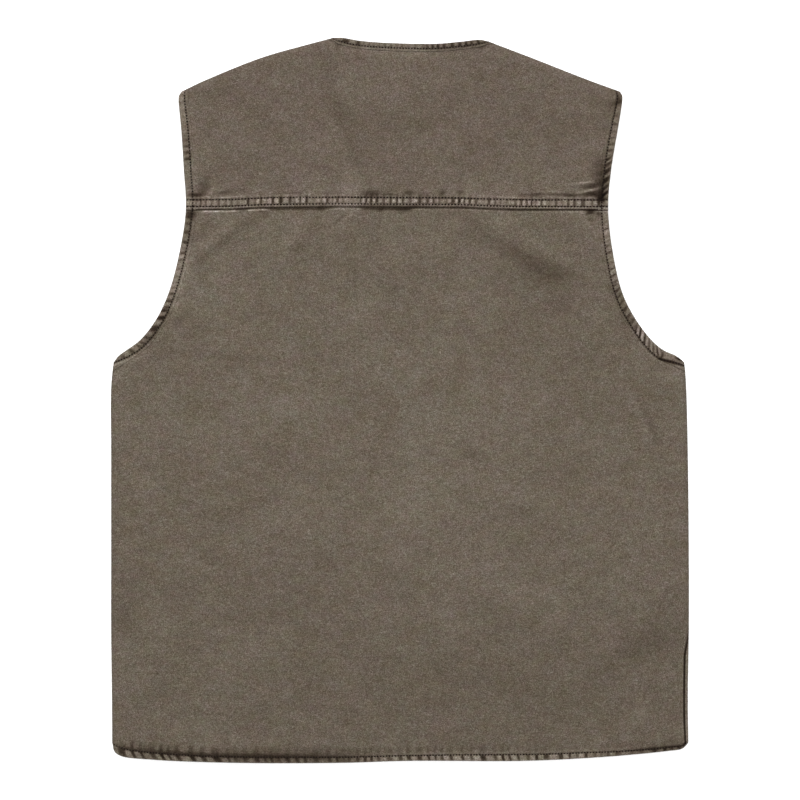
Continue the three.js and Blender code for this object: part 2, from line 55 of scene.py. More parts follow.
# The cloth and the heights at which it lies.
CLOTH = 1.2
HEM_CLOTH = 2.4
FOLD_HEIGHT = 6.0
FOLD_REACH = 7.0
EDGE_HEIGHT = 12.0
CROWN_HEIGHT = 15.0
CROWN_REACH = 130.0
HEM_TURN = 20.0

# The yoke's lap, and the hidden front.
YOKE_LIFT = 1.5
YOKE_SETTLE_FROM = 12.0
YOKE_SETTLE_OVER = 10.0
YOKE_UNDERLAP = 7.0
SHOULDER_SEAM = 10.0
FRONT_SCOOP = 16.0
FRONT_HEM_RISE = 4.0
FRONT_HEM_BLEND = 60.0
V_BOTTOM_Y = 168.0
V_CLEAR = 4.0
FRONT_EDGE_X = 4.3

# Widths of the hems, from the edge to the stitches.
ARMHOLE_HEM = 10.4
FRONT_ARM_STITCHES = 0.6
NECK_HEM = 7.8
NECK_STITCHES = 0.65
FRONT_HEM = 8.0
FOLD_WIDTH = 2.0
FOLD_WIDEN = 14.0

# Divisions of lines and grids.
LINE_STEPS = 300
ROW_STEPS = 40
COARSE_STEPS = 60
FOOT_CHUNK = 4000
TURN_STEPS = 8
SLIP_SHARE = 0.08
REACHES = np.linspace(0, SHOULDER_SEAM, 2 * TURN_STEPS + 1)
SIDE_SEAM_GAP = 0.3
COLUMN_SPLIT = 3
CLIMB = 150.0
YOKE_CLIMB = 108.0

# How hems, seams and their thread lie.
TUCK = 0.8
TUCK_DROP = 0.5
TUCK_CLEAR = 0.4
MARGIN_REACH = 20.0
END_FADE = 3.0
EDGE_ROUND = 1.3
EDGE_THIN = 0.12
LAP_SOFT = 1.0
LAP_SLACK = 1.0
DITCH_ROLL = 40.0
THREAD_SINK = 0.15
FRONT_THREAD_SINK = 0.75
SEAM_THREAD_SINK = 0.2
THREAD_ASIDE = 0.3
THREAD_INSET = 1.5
STITCH_ROWS = (2.8, 9.5)
SEAM_END_X = (-214.0, 208.0)
SEAM_STEPS = 200
SEAM_PITCH = 3.2
HEM_PITCH = 2.9

# The bars of shrunken seams and hems: how they wander, and how uneven, light and steep they are.
PUCKER_FADE = 5.0
WANDER = 0.3
WANDER_OVER = 13.0
JITTER = 0.15
JITTER_OVER = 5.3
BAR_LEAST = 0.35
BAR_SPREAD = 1.1
LIGHT_SPREAD = 1.2
BAR_STEEPNESS = 2.2

# How finely noise changes with height in a metre, and the curve of screen colours.
NOISE_DEPTH = 36.0
SCREEN_WHITE = 255.0
SCREEN_FOOT = 0.055
SCREEN_POWER = 2.4

# The turn and the spread that scatter whole numbers.
SCATTER_TURN = 12.9898
SCATTER_SPREAD = 43758.5453


class Side(Enum):
    """A side of the vest as it lies, by the sign of X."""

    LEFT = -1
    RIGHT = 1


class Layer(Enum):
    """The back layer on top, or the front layer underneath."""

    BACK = 1
    FRONT = -1


class Across(NamedTuple):
    """A height on the vest, and its outline there on the left and on the right."""

    y: float
    left: float
    right: float


class Spot(NamedTuple):
    """A place on the lying vest, or a value y at a place or length x along a line."""

    x: float
    y: float


class Dent(NamedTuple):
    """A dent, ridge or smudge: its middle, half sizes, turn in degrees, and its rise or tone."""

    x: float
    y: float
    across: float
    along: float
    degrees: float
    rise: float


class Roll(NamedTuple):
    """How far the right side seam has rolled on to the back at a height."""

    y: float
    degrees: float


class Stretch(NamedTuple):
    """Part of a seam that has shrunk into puckers: its ends, strength, pitch, lean and share of light."""

    start: float
    stop: float
    strength: float
    pitch: float
    lean: float = 0.0
    light: float = 0.5


class Wear(NamedTuple):
    """The tones of a hem at a place along it, from its edge to the cloth beyond its stitches."""

    at: float
    edge: float
    middle: float
    groove: float
    ridge: float
    beyond: float


class Ridge(NamedTuple):
    """A ridge or groove along the yoke seam: its place above the lap's edge, half width and rise."""

    above: float
    half: float
    rise: float


class ToneLine(NamedTuple):
    """A line of tone along the yoke seam: its place above the lap's edge, width, strength and tones."""

    above: float
    half: float
    strength: float
    tones: tuple[Spot, ...]


# The outline of the lying vest: its armholes and sides, then its shoulders, neck and hem.
ARMHOLES = (
    Across(38, -286, 284), Across(44, -281.3, 276), Across(50, -273, 263),
    Across(60, -259.6, 251.2), Across(80, -244, 236), Across(105, -232, 223),
    Across(140, -222, 214), Across(190, -214, 208), Across(230, -216, 211),
    Across(270, -218.6, 217.6), Across(290, -220.5, 220.9), Across(299, -221.4, 222.2),
    Across(304, -221.0, 222.2), Across(308, -218.6, 220.2),
)
SIDES = (
    Across(38, -286, 284), Across(16, -288.3, 285.6), Across(-55, -288.4, 287.4),
    Across(-160, -288.4, 288.4), Across(-230, -288.4, 288.4), Across(-300, -287.6, 287.4),
    Across(-343, -287.4, 288),
)
LEFT_SHOULDER = (
    Spot(-218.6, 308), Spot(-200, 317.0), Spot(-140, 341.4), Spot(-95, 354.4), Spot(-66, 362),
)
RIGHT_SHOULDER = (
    Spot(220.2, 308), Spot(190, 318.9), Spot(130, 342.4), Spot(87.5, 358.5),
)
NECK = (
    Spot(-66, 362), Spot(-58, 362), Spot(-40, 359), Spot(-15, 357), Spot(35, 356), Spot(60, 358),
    Spot(80, 360), Spot(87.5, 358.5),
)
HEM = (
    Spot(-287.4, -343), Spot(-285.5, -351), Spot(-279, -355.7), Spot(-245, -359.6),
    Spot(-170, -362.5), Spot(-60, -362.6), Spot(10, -360.6), Spot(125, -360.6), Spot(205, -356.6),
    Spot(268, -350.7), Spot(282, -348.4), Spot(288, -343),
)
# The right side seam, which has rolled on to the back at the lower end.
SEAM_ROLL = (
    Roll(-345, 56), Roll(-320, 60), Roll(-252, 60), Roll(-226, 0),
)
# Tones of the back's last columns, from the rolled side seam inwards: a painted shadow in the seam's ditch,
# then a painted highlight on the back's raised edge beside it.
DITCH_SHADE_TONES = (-1.3, -1.2, -0.7, -0.25, 0.0, 0.25)
# The lower edge of the yoke, which bows up in the middle.
YOKE_EDGE = (
    Spot(-225, 190.3), Spot(-170, 190.6), Spot(-140, 192.0), Spot(-60, 193.0), Spot(-20, 192.6),
    Spot(60, 192.2), Spot(90, 190.9), Spot(115, 190.2), Spot(225, 190.3),
)
YOKE_END_Y = YOKE_EDGE[0].y
# The distance from the bottom edge to its stitches, which wanders along the hem.
BOTTOM_STITCHES = (
    Spot(-288, 8.4), Spot(-268, 8.0), Spot(-245, 7.2), Spot(-190, 6.3), Spot(-100, 6.4),
    Spot(-20, 5.6), Spot(20, 5.6), Spot(70, 6.6), Spot(115, 6.8), Spot(165, 6.2), Spot(190, 5.8),
    Spot(212, 4.8), Spot(240, 4.2), Spot(288, 3.8),
)
# Distances from the armholes' edges to their stitches, by the length along each edge from the underarm.
LEFT_ARM_STITCHES = (
    Spot(0, 2.0), Spot(8, 5.2), Spot(14, 6.4), Spot(25, 7.4), Spot(60, 6.9), Spot(100, 6.4),
    Spot(165, 6.6), Spot(190, 7.2), Spot(230, 7.3), Spot(260, 6.9), Spot(291, 6.3),
)
RIGHT_ARM_STITCHES = (
    Spot(0, 4.5), Spot(10, 7.0), Spot(23, 9.6), Spot(40, 8.8), Spot(60, 7.9), Spot(100, 7.4),
    Spot(165, 6.8), Spot(250, 7.0), Spot(270, 6.6), Spot(285, 5.6),
)
# How the hems have worn, by the length along each edge. On the bottom hem the beyond column is below 0: a
# painted soft shadow on the cloth above its stitches.
LEFT_ARM_WEAR = (
    Wear(0, 0.3, 0.1, -0.5, 0.6, 0.1),
    Wear(14, 0.25, 0.0, -0.35, 0.5, 0.22),
    Wear(30, 0.2, -0.05, -0.3, 0.1, 0.16),
    Wear(40, 0.05, -0.25, -0.45, 0.0, 0.05),
    Wear(72, 0.05, -0.3, -0.5, 0.05, 0.05),
    Wear(82, 0.25, 0.1, -0.15, 0.25, 0.18),
    Wear(100, 0.3, 0.3, -0.1, 0.3, 0.24),
    Wear(132, 0.3, 0.25, -0.1, 0.25, 0.2),
    Wear(142, 0.15, -0.05, -0.3, 0.05, 0.05),
    Wear(160, 0.1, -0.15, -0.4, 0.0, 0.05),
    Wear(172, 0.0, -0.4, -0.5, -0.2, 0.0),
    Wear(178, 0.2, 0.1, -0.2, 0.0, 0.0),
    Wear(186, 0.1, -0.1, -0.3, -0.1, -0.1),
    Wear(196, 0.25, 0.1, -0.1, 0.2, 0.1),
    Wear(218, 0.3, 0.2, -0.1, 0.2, 0.1),
    Wear(226, 0.15, -0.1, -0.3, 0.05, 0.05),
    Wear(244, 0.1, -0.1, -0.3, 0.0, 0.05),
    Wear(254, 0.3, 0.25, -0.1, 0.15, 0.1),
    Wear(291, 0.35, 0.3, -0.05, 0.1, 0.05),
)
RIGHT_ARM_WEAR = (
    Wear(0, 0.4, 0.2, -0.7, 0.5, 0.05),
    Wear(20, 0.35, 0.2, -1.1, 0.35, 0.0),
    Wear(26, 0.2, 0.1, -0.4, 0.15, 0.0),
    Wear(55, 0.15, 0.0, -0.4, 0.1, -0.05),
    Wear(66, 0.1, -0.25, -0.35, -0.05, -0.05),
    Wear(100, 0.1, -0.2, -0.35, -0.05, -0.05),
    Wear(112, 0.25, 0.15, -0.2, 0.05, 0.0),
    Wear(165, 0.25, 0.2, -0.15, 0.1, 0.05),
    Wear(178, 0.25, 0.15, -0.2, 0.05, 0.0),
    Wear(188, 0.0, -0.4, -0.5, -0.35, -0.2),
    Wear(215, 0.05, -0.35, -0.5, -0.3, -0.2),
    Wear(232, 0.1, -0.1, -0.35, -0.1, -0.1),
    Wear(245, 0.2, 0.1, -0.25, 0.05, 0.0),
    Wear(276, 0.2, 0.1, -0.3, 0.05, 0.0),
    Wear(284, 0.1, -0.15, -0.5, 0.0, -0.05),
    Wear(296, 0.15, 0.0, -0.5, 0.05, 0.0),
)
NECK_WEAR = (
    Wear(0, 0.25, 0.1, -0.3, 0.1, 0.0),
    Wear(10, 0.1, -0.05, -0.3, 0.05, 0.0),
    Wear(25, 0.1, -0.1, -0.25, 0.05, 0.0),
    Wear(32, 0.15, 0.1, 0.0, 0.15, 0.05),
    Wear(85, 0.15, 0.1, 0.0, 0.15, 0.05),
    Wear(92, 0.0, -0.15, -0.3, 0.05, 0.0),
    Wear(135, 0.0, -0.25, -0.5, 0.0, -0.05),
    Wear(154, 0.2, 0.0, -0.3, 0.05, 0.0),
)
# The bottom hem's wear; its beyond column darkens the cloth above the stitches as a painted soft shadow.
BOTTOM_WEAR_AND_SHADE = (
    Wear(0, 0.25, 0.05, -0.3, -0.1, -0.2),
    Wear(14, 0.15, -0.1, -0.5, -0.25, -0.3),
    Wear(60, 0.1, -0.2, -0.75, -0.4, -0.3),
    Wear(120, 0.0, -0.25, -0.85, -0.45, -0.25),
    Wear(180, 0.0, -0.35, -0.8, -0.4, -0.25),
    Wear(240, 0.0, -0.3, -0.6, -0.15, -0.2),
    Wear(275, 0.25, 0.15, -0.2, 0.15, -0.15),
    Wear(330, 0.3, 0.15, -0.15, 0.25, -0.15),
    Wear(420, 0.3, 0.1, -0.15, 0.25, -0.1),
    Wear(490, 0.3, 0.1, -0.15, 0.2, -0.05),
    Wear(520, 0.2, 0.0, -0.35, 0.1, -0.1),
    Wear(545, 0.1, -0.25, -0.8, 0.0, -0.15),
    Wear(588, 0.0, -0.4, -0.7, 0.0, -0.05),
)
FRONT_WEAR = (Wear(0, 0.15, 0.05, -0.4, 0.2, 0.0),)

# Where the hems are roped, by the length along each edge.
LEFT_ARM_ROPES = (
    Stretch(8, 34, 0.5, 7.0, -0.3),
    Stretch(30, 76, 0.9, 9.0, -0.6),
    Stretch(72, 86, 1.2, 6.0, -0.4),
    Stretch(82, 138, 0.7, 6.5, -0.4, 1.0),
    Stretch(136, 172, 0.6, 7.0),
    Stretch(186, 222, 0.25, 6.0),
    Stretch(220, 246, 0.5, 8.0),
    Stretch(246, 291, 0.25, 6.0),
)
RIGHT_ARM_ROPES = (
    Stretch(22, 60, 1.5, 6.5, 0.9),
    Stretch(56, 108, 0.8, 7.5, 0.4),
    Stretch(104, 168, 0.7, 6.5, 0.3, 1.0),
    Stretch(188, 234, 1.1, 6.5, 0.9, -0.5),
    Stretch(232, 264, 0.5, 6.5, 0.2),
    Stretch(258, 296, 0.7, 9.0),
)
NECK_ROPES = (
    Stretch(2, 30, 0.9, 8.0),
    Stretch(28, 90, 0.3, 6.0),
    Stretch(88, 154, 0.8, 6.0),
)
BOTTOM_ROPES = (
    Stretch(8, 130, 0.9, 10.5, 0.7),
    Stretch(125, 245, 0.5, 9.0, 0.3),
    Stretch(238, 300, 0.9, 8.5),
    Stretch(295, 420, 1.0, 9.3, 0.3, 0.7),
    Stretch(415, 498, 1.0, 9.3, 0.0, 0.6),
    Stretch(490, 588, 0.7, 10.0),
)
# Broad rises and dents of the back.
DENTS = (
    Dent(199, 213, 5, 14, -15, -1.3),
    Dent(186, 214, 5, 12, -25, 0.8),
    Dent(-194, 210, 7, 10, 20, -0.9),
    Dent(150, 120, 40, 90, -28, 0.9),
    Dent(-160, 90, 36, 80, 30, -0.8),
    Dent(-60, -150, 60, 110, 12, 0.8),
    Dent(120, -220, 45, 90, -8, -0.7),
)
# Tones along the yoke seam: on its ridge, its stitches and the lap's edge; a painted shadow under the lap's
# edge; and painted highlights and shade on the puckers below it.
RIDGE_TONES = (
    Spot(-210, 0.1), Spot(-198, 0.55), Spot(-150, 0.55), Spot(-130, 0.3), Spot(-110, 0.5),
    Spot(-60, 0.4), Spot(-42, 0.3), Spot(20, 0.3), Spot(40, 0.35), Spot(60, 0.45), Spot(110, 0.4),
    Spot(140, 0.25), Spot(190, 0.45), Spot(200, 0.0),
)
ROW_TONES = (
    Spot(-205, -0.35), Spot(-50, -0.35), Spot(-40, -0.5), Spot(30, -0.5), Spot(60, -0.4),
)
EDGE_TONES = (
    Spot(-210, 0.5), Spot(-75, 0.5), Spot(-68, 1.0), Spot(-42, 1.0), Spot(-36, 0.15),
    Spot(20, 0.15), Spot(30, 0.5), Spot(200, 0.6),
)
# Painted shadow just under the lap's edge.
LAP_SHADOW_TONES = (
    Spot(-208, -0.7), Spot(-196, -0.6), Spot(-190, -1.0), Spot(-182, -1.0), Spot(-176, -0.6),
    Spot(-166, -0.7), Spot(-162, -1.15), Spot(-150, -1.1), Spot(-144, -0.7), Spot(-134, -1.0),
    Spot(-70, -0.95), Spot(-62, -0.5), Spot(-46, -0.6), Spot(-40, -1.0), Spot(22, -1.1),
    Spot(34, -0.8), Spot(100, -0.85), Spot(110, -1.1), Spot(206, -1.1),
)
# Painted highlights where the puckers below the lap catch the light, and painted shade between them.
UNDER_LAP_SHADE_AND_LIGHT = (
    Spot(-200, 0.1), Spot(-196, 0.7), Spot(-164, 0.7), Spot(-160, 0.0), Spot(-154, 0.1),
    Spot(-150, 0.75), Spot(-136, 0.7), Spot(-128, -0.25), Spot(-76, -0.35), Spot(-68, 0.35),
    Spot(-42, 0.35), Spot(-36, -0.35), Spot(8, -0.4), Spot(14, 0.3), Spot(22, 0.3), Spot(36, 0.15),
    Spot(100, 0.2), Spot(110, 0.1), Spot(150, 0.15), Spot(165, 0.35), Spot(205, 0.3),
)
# Rises of small creases.
CREASES = (
    Dent(190, 209.5, 10, 1.3, 15, 0.5),
    Dent(192, 206, 9, 2.0, 0, -0.5),
    Dent(186, 216.5, 12, 1.4, 4, 0.45),
    Dent(191, 213, 8, 2.4, 8, -0.4),
    Dent(202, 208, 3, 10, 0, -0.7),
    Dent(-189, 208, 1.4, 6, -40, 0.4),
    Dent(-175, 207.5, 8, 1.8, 10, -0.4),
)
# Faded and dark patches, the rises of which are tones, with painted shade and highlights along creases and
# round the yoke's lap and ends.
SMUDGES_AND_SHADING = (
    Dent(0, 290, 500, 75, 0, -0.065),
    Dent(0, 120, 300, 60, 0, -0.02),
    Dent(106, 152, 54, 8, -30, -0.18),
    Dent(118, 166, 50, 6, -30, 0.12),
    Dent(146, 130, 24, 11, -27, -0.2),
    Dent(175, 165, 25, 6, -40, -0.1),
    Dent(185, 179, 20, 5, -45, 0.1),
    Dent(60, 176, 26, 4, -35, 0.1),
    Dent(-176, 158, 40, 4, 38, -0.16),
    Dent(-184, 166, 40, 4, 38, 0.16),
    Dent(-150, 150, 36, 5, 40, 0.1),
    Dent(-110, 165, 30, 5, 50, 0.1),
    Dent(-95, 160, 30, 5, 52, -0.08),
    Dent(240, -246, 48, 15, 30, -0.17),
    Dent(268, -200, 18, 9, 20, -0.08),
    Dent(-274, -215, 12, 20, 0, -0.12),
    Dent(0, -100, 75, 50, 0, 0.06),
    Dent(140, 105, 38, 35, -25, -0.06),
    Dent(250, -25, 26, 3, -70, -0.18),
    Dent(242, -24, 26, 4, -70, 0.11),
    Dent(-165, 42, 60, 5, -3, -0.1),
    Dent(-105, -22, 40, 22, 0, 0.07),
    Dent(70, -55, 9, 5, 0, -0.12),
    Dent(-120, -190, 120, 30, 0, -0.05),
    Dent(60, -300, 220, 60, 0, -0.07),
    Dent(-50, 211, 9, 8, 0, 0.2),
    Dent(-58, 285, 7, 45, 20, -0.11),
    Dent(-204, 204.5, 8, 1.8, 0, -0.8),
    Dent(-189, 207.5, 1.2, 6.5, -42, 0.5),
    Dent(-198, 212, 5, 8, 0, -0.28),
    Dent(-192.5, 217, 2.4, 9, 0, -0.18),
    Dent(-193, 174.5, 7, 3, 25, -0.22),
    Dent(-184, 179, 15, 2, 30, 0.14),
    Dent(219.5, 302, 2.6, 2.6, 0, -0.45),
    Dent(216, 296.5, 5, 1.1, 12, -0.55),
    Dent(-175, 207.3, 8, 1.5, 8, -0.5),
    Dent(-157, 208.8, 5, 1.8, 0, -0.25),
    Dent(-110, 206.2, 14, 1.0, 0, -0.3),
    Dent(-70, 206.4, 10, 1.0, 0, -0.25),
    Dent(-29, 206, 9, 3.2, 0, -0.65),
    Dent(-11, 205.2, 6, 1.4, 0, -0.45),
    Dent(9, 206.2, 5, 2.4, 0, -0.6),
    Dent(24, 205.6, 6, 1.6, 0, -0.3),
    Dent(42, 206.2, 3, 3.2, 0, -0.5),
    Dent(60, 207.5, 3, 2.2, 0, -0.35),
    Dent(-19, 190.2, 4.5, 1.8, 15, -0.6),
    Dent(6, 190.2, 10, 2.2, 5, -0.45),
    Dent(-80, 191.4, 3, 1.8, 0, -0.35),
    Dent(-138, 188.3, 5, 1.4, -10, -0.3),
    Dent(-52, 183, 2.0, 14, -50, 0.2),
    Dent(-60, 180, 2.0, 14, -50, -0.15),
    Dent(122, 204.6, 5, 1.3, 0, -0.3),
    Dent(136, 205, 8, 1.5, 4, -0.6),
    Dent(152, 205, 6, 1.3, 0, -0.35),
    Dent(152, 207.6, 8, 0.9, 0, 0.3),
    Dent(170, 204.5, 9, 1.6, -3, -0.85),
    Dent(192, 205.8, 9, 2.3, 4, -1.0),
    Dent(190, 209.6, 10, 1.0, 12, 1.0),
    Dent(191, 213.2, 8, 2.6, 8, -0.6),
    Dent(183, 217, 12, 1.1, 6, 0.75),
    Dent(202.5, 209, 2.4, 10, -3, -0.4),
    Dent(278, 41, 3.2, 1.0, -28, -1.6),
    Dent(261.5, 43.7, 1.1, 4.2, -25, -1.1),
    Dent(269, 37.5, 9, 1.2, -17, -0.4),
    Dent(-281, 25, 9, 6, 0, 0.14),
    Dent(-281, 22, 7, 1.5, 20, 0.2),
    Dent(200.5, 201, 3.4, 4, 0, -0.9),
    Dent(197, 226, 6, 12, 0, -0.2),
    Dent(190, 188, 4.5, 1.9, 5, -1.5),
    Dent(-212, 198, 3.5, 4.5, 0, 0.45),
    Dent(206.5, 199, 2, 4, 0, 0.4),
    Dent(183, 187, 4, 1.0, 0, 0.4),
    Dent(198, 186.2, 2.2, 2.4, 0, -0.6),
    Dent(190, 180.5, 3, 1.6, 0, -0.3),
    Dent(-209, 186, 5, 4.5, 0, -0.55),
    Dent(-223.6, 96, 8, 2.6, 35, 0.25),
    Dent(-222, 102, 6, 2.6, 40, -0.2),
    Dent(-214, 74.6, 10, 3, 29, 0.16),
    Dent(-219, 81, 9, 3, 27, -0.12),
    Dent(270, 20, 15, 8, -10, 0.12),
)
# Where the yoke seam has shrunk, by the place across the back.
SEAM_PUCKERS = (
    Stretch(-205, -155, 0.5, 6.6),
    Stretch(-158, -105, 1.0, 6.8),
    Stretch(-108, -50, 0.8, 6.6),
    Stretch(-42, 84, 1.1, 6.7),
    Stretch(82, 112, 0.6, 6.5),
    Stretch(110, 148, 1.0, 5.8),
    Stretch(146, 204, 0.5, 6.6),
)
# Grooves at the stitches of the yoke seam, the ridge above them and the hollow beyond it.
SEAM_RIDGES = (
    *(Ridge(row, 0.8, -0.4) for row in STITCH_ROWS),
    Ridge(12.6, 1.8, 0.4),
    Ridge(16, 1.6, -0.25),
)
# Where the tones along the yoke seam lie, and how strong they are.
SEAM_TONES = (
    *(ToneLine(row, 0.8, 1.0, ROW_TONES) for row in STITCH_ROWS),
    ToneLine(11.6, 0.8, 1.4, RIDGE_TONES),
    ToneLine(1.3, 0.75, 1.0, EDGE_TONES),
    ToneLine(-0.3, 0.5, 1.0, LAP_SHADOW_TONES),
    ToneLine(-1.8, 0.75, 1.9, UNDER_LAP_SHADE_AND_LIGHT),
)


def smooth(t: Array | float) -> Array:
    """A soft step from 0 to 1."""
    t = np.clip(t, 0.0, 1.0)
    return t * t * (3 - 2 * t)


def lerp(a: Array | float, b: Array | float, t: Array | float) -> Array | float:
    """A value part of the way from a to b."""
    return a + (b - a) * t


def reach_at(angle: Array | float) -> Array:
    """How far cloth that turns round a fold reaches inwards from it at an angle."""
    return FOLD_REACH * (1 - np.cos(angle))


def bell(t: Array, middle: float, half: float) -> Array:
    """A soft bump of height 1 round a middle."""
    return np.exp(-(((t - middle) / half) ** 2))


def scatter(k: Array) -> Array:
    """A steady number from 0 to 1 for each whole number."""
    return np.mod(SCATTER_SPREAD * np.sin(SCATTER_TURN * k), 1.0)


def from_table(rows: Sequence[Spot], x: Array) -> Array:
    """The second column of a table, read at values of its first."""
    table = np.array(rows, float)
    return np.interp(x, table[:, 0], table[:, 1])


@dataclass(eq=False)
class ClothLine:
    """A line on the lying vest, walked by its length, with the cloth on one side of it."""

    spots: Array
    cloth_side: int
    marks: Array = field(init=False)
    tangents: Array = field(init=False)

    def __post_init__(self) -> None:
        """Measures the line and its directions."""
        steps = np.hypot(*np.diff(self.spots, axis=0).T)
        self.marks = np.concatenate([[0.0], np.cumsum(steps)])
        ways = np.gradient(self.spots, self.marks, axis=0)
        self.tangents = ways / np.hypot(*ways.T)[:, None]

    @classmethod
    def through(cls, rows: Sequence[Spot], cloth_side: int) -> "ClothLine":
        """Draws a smooth line through the rows of a table.

        Args:
            rows: Places on the line, in order.
            cloth_side: 1 if the cloth is to the left of the line's direction, otherwise -1.

        Returns:
            The line, with its spots evenly spaced.
        """
        stops = np.array([(row[0], row[1]) for row in rows], float)
        ends = np.vstack([2 * stops[0] - stops[1], stops, 2 * stops[-1] - stops[-2]])
        t = np.linspace(0, 1, ROW_STEPS, endpoint=False)[:, None]
        spans = []
        for a, b, c, d in zip(ends, ends[1:], ends[2:], ends[3:]):
            ab, bc, cd = (math.sqrt(math.dist(*pair)) for pair in ((a, b), (b, c), (c, d)))
            leave = ((b - a) / ab - (c - a) / (ab + bc) + (c - b) / bc) * bc
            arrive = ((c - b) / bc - (d - b) / (bc + cd) + (d - c) / cd) * bc
            curve = b + leave * t + (3 * (c - b) - 2 * leave - arrive) * t**2
            spans.append(curve + (2 * (b - c) + leave + arrive) * t**3)
        dense = ClothLine(np.vstack([*spans, stops[-1:]]), cloth_side)
        return cls(dense.at(np.linspace(0, dense.length, LINE_STEPS + 1)), cloth_side)

    @property
    def length(self) -> float:
        """The line's length."""
        return float(self.marks[-1])

    def at(self, s: Array | float) -> Array:
        """Places at lengths along the line."""
        return np.stack([np.interp(s, self.marks, self.spots[:, k]) for k in (0, 1)], axis=-1)

    def direction(self, s: Array | float) -> Array:
        """The line's direction at lengths along it."""
        ways = [np.interp(s, self.marks, self.tangents[:, k]) for k in (0, 1)]
        return np.stack(ways, axis=-1) / np.hypot(*ways)[..., None]

    def inward(self, s: Array | float) -> Array:
        """The direction square to the line, into the cloth."""
        ahead = self.direction(s)
        return np.stack([-ahead[..., 1], ahead[..., 0]], axis=-1) * self.cloth_side

    def offset(self, s: Array, distance: Array | float) -> Array:
        """Places a distance into the cloth from lengths along the line."""
        return self.at(s) + self.inward(s) * np.asarray(distance, float)[..., None]

    def coarse(self) -> "ClothLine":
        """The same line with fewer spots, for distances that matter only roughly."""
        return ClothLine(self.at(np.linspace(0, self.length, COARSE_STEPS + 1)), self.cloth_side)

    def foot(self, points: Array) -> tuple[Array, Array]:
        """Finds the nearest place on the line to each point.

        Args:
            points: Places on the lying vest, one to a row.

        Returns:
            The length along the line and the distance from it, for each point.
        """
        start, step = self.spots[:-1], np.diff(self.spots, axis=0)
        span = (step**2).sum(axis=1)
        along, away = np.empty(len(points)), np.empty(len(points))
        for low in range(0, len(points), FOOT_CHUNK):
            some = slice(low, low + FOOT_CHUNK)
            out = points[some, None] - start
            part = np.clip((out * step).sum(axis=2) / span, 0, 1)
            gap = np.hypot(*np.moveaxis(out - part[..., None] * step, 2, 0))
            best = gap.argmin(axis=1)
            rows = np.arange(len(best))
            away[some] = gap[rows, best]
            along[some] = self.marks[best] + part[rows, best] * np.sqrt(span[best])
        return along, away


@dataclass
class FoldEnd:
    """The end of an edge on a fold: how far along the edge, and which way the fold runs."""

    s: float
    along: Array


@dataclass(frozen=True)
class HemLook:
    """How a hem has worn and roped along its edge, and where its stitches are."""

    wear: tuple[Wear, ...] = FRONT_WEAR
    ropes: tuple[Stretch, ...] = ()
    stitches_at: float = 1.0
    stitches: tuple[Spot, ...] = ()
    tapers: bool = False


@dataclass(eq=False)
class HemEdge(ClothLine):
    """An open edge with a turned hem, which wraps round a fold at one end or at both."""

    ends: list[FoldEnd] = field(default_factory=list)
    look: HemLook = field(default_factory=HemLook)
    full_width: Callable[[Array], Array] = lambda s: np.full(np.shape(s), ARMHOLE_HEM)

    def width(self, s: Array) -> Array:
        """The hem's width, which is less where it wraps round a fold.

        Args:
            s: Lengths along the edge.

        Returns:
            The width at each length.
        """
        width = self.full_width(s)
        for end in self.ends if self.look.tapers else ():
            near = 1 - smooth(np.abs(s - end.s) / FOLD_WIDEN)
            width = lerp(width, FOLD_WIDTH, near)
        return width

    def stitches(self, s: Array) -> Array:
        """The distance from the edge to the stitches.

        Args:
            s: Lengths along the edge.

        Returns:
            The distance at each length.
        """
        if self.look.stitches:
            return from_table(self.look.stitches, s)
        return self.width(s) * self.look.stitches_at

    def wraps(self, s: float, along: Array) -> "HemEdge":
        """Lets the hem follow a fold at one end of the edge."""
        self.ends.append(FoldEnd(s, along))
        return self

    def hem_point(self, s: Array, distance: Array) -> Array:
        """Places across the hem, square to the edge and along the fold where it wraps round one.

        Args:
            s: Lengths along the edge.
            distance: How far each place is from the edge.

        Returns:
            The places on the lying vest.
        """
        s = np.asarray(s, float)
        way = self.inward(s)
        for end in self.ends:
            near = 1 - smooth(np.abs(s - end.s) / HEM_TURN)
            way = way + (end.along - way) * near[..., None]
        way = way / np.linalg.norm(way, axis=-1, keepdims=True)
        return self.at(s) + way * np.asarray(distance, float)[..., None]

    def panel_point(self, s: Array) -> Array:
        """Where the panel starts, at the stitches of the hem."""
        return self.hem_point(s, self.width(np.asarray(s, float)) - TUCK)

    def crossing(self, fold: ClothLine, distance: float) -> tuple[float, float]:
        """Finds where the panel's edge is a given distance from a fold.

        Args:
            fold: The fold that the hem wraps round.
            distance: How far from it.

        Returns:
            The length along the fold, and the length along this edge.
        """
        s = np.linspace(0, self.length, LINE_STEPS + 1)
        along, away = fold.foot(self.panel_point(s))
        if away[0] > away[-1]:
            s, along, away = s[::-1], along[::-1], away[::-1]
        k = int(np.argmax(away[1:] >= distance)) + 1
        part = max((distance - away[k - 1]) / (away[k] - away[k - 1]), 0.0)
        return lerp(along[k - 1], along[k], part), lerp(s[k - 1], s[k], part)

    @lru_cache
    def crossings(self, fold: ClothLine) -> tuple[Array, Array]:
        """Where the panel's edge crosses lines beside a fold, at distances given by REACHES.

        Args:
            fold: The fold that the hem wraps round.

        Returns:
            The lengths along the fold, and how far the panel's edge there is from the fold's own offset.
        """
        on_fold, on_hem = np.array([self.crossing(fold, reach) for reach in REACHES]).T
        return on_fold, self.panel_point(on_hem) - fold.offset(on_fold, REACHES)

    def length_at_x(self, x: float) -> float:
        """The length along the edge at which it reaches a place across the vest."""
        s = np.linspace(0, self.length, LINE_STEPS + 1)
        return float(np.interp(x, self.at(s)[:, 0], s))

    def length_at_height(self, y: float) -> float:
        """The length along the edge at which the panel beside it reaches a height."""
        s = np.linspace(0, self.length, LINE_STEPS + 1)
        return float(np.interp(y, self.panel_point(s)[:, 1], s))


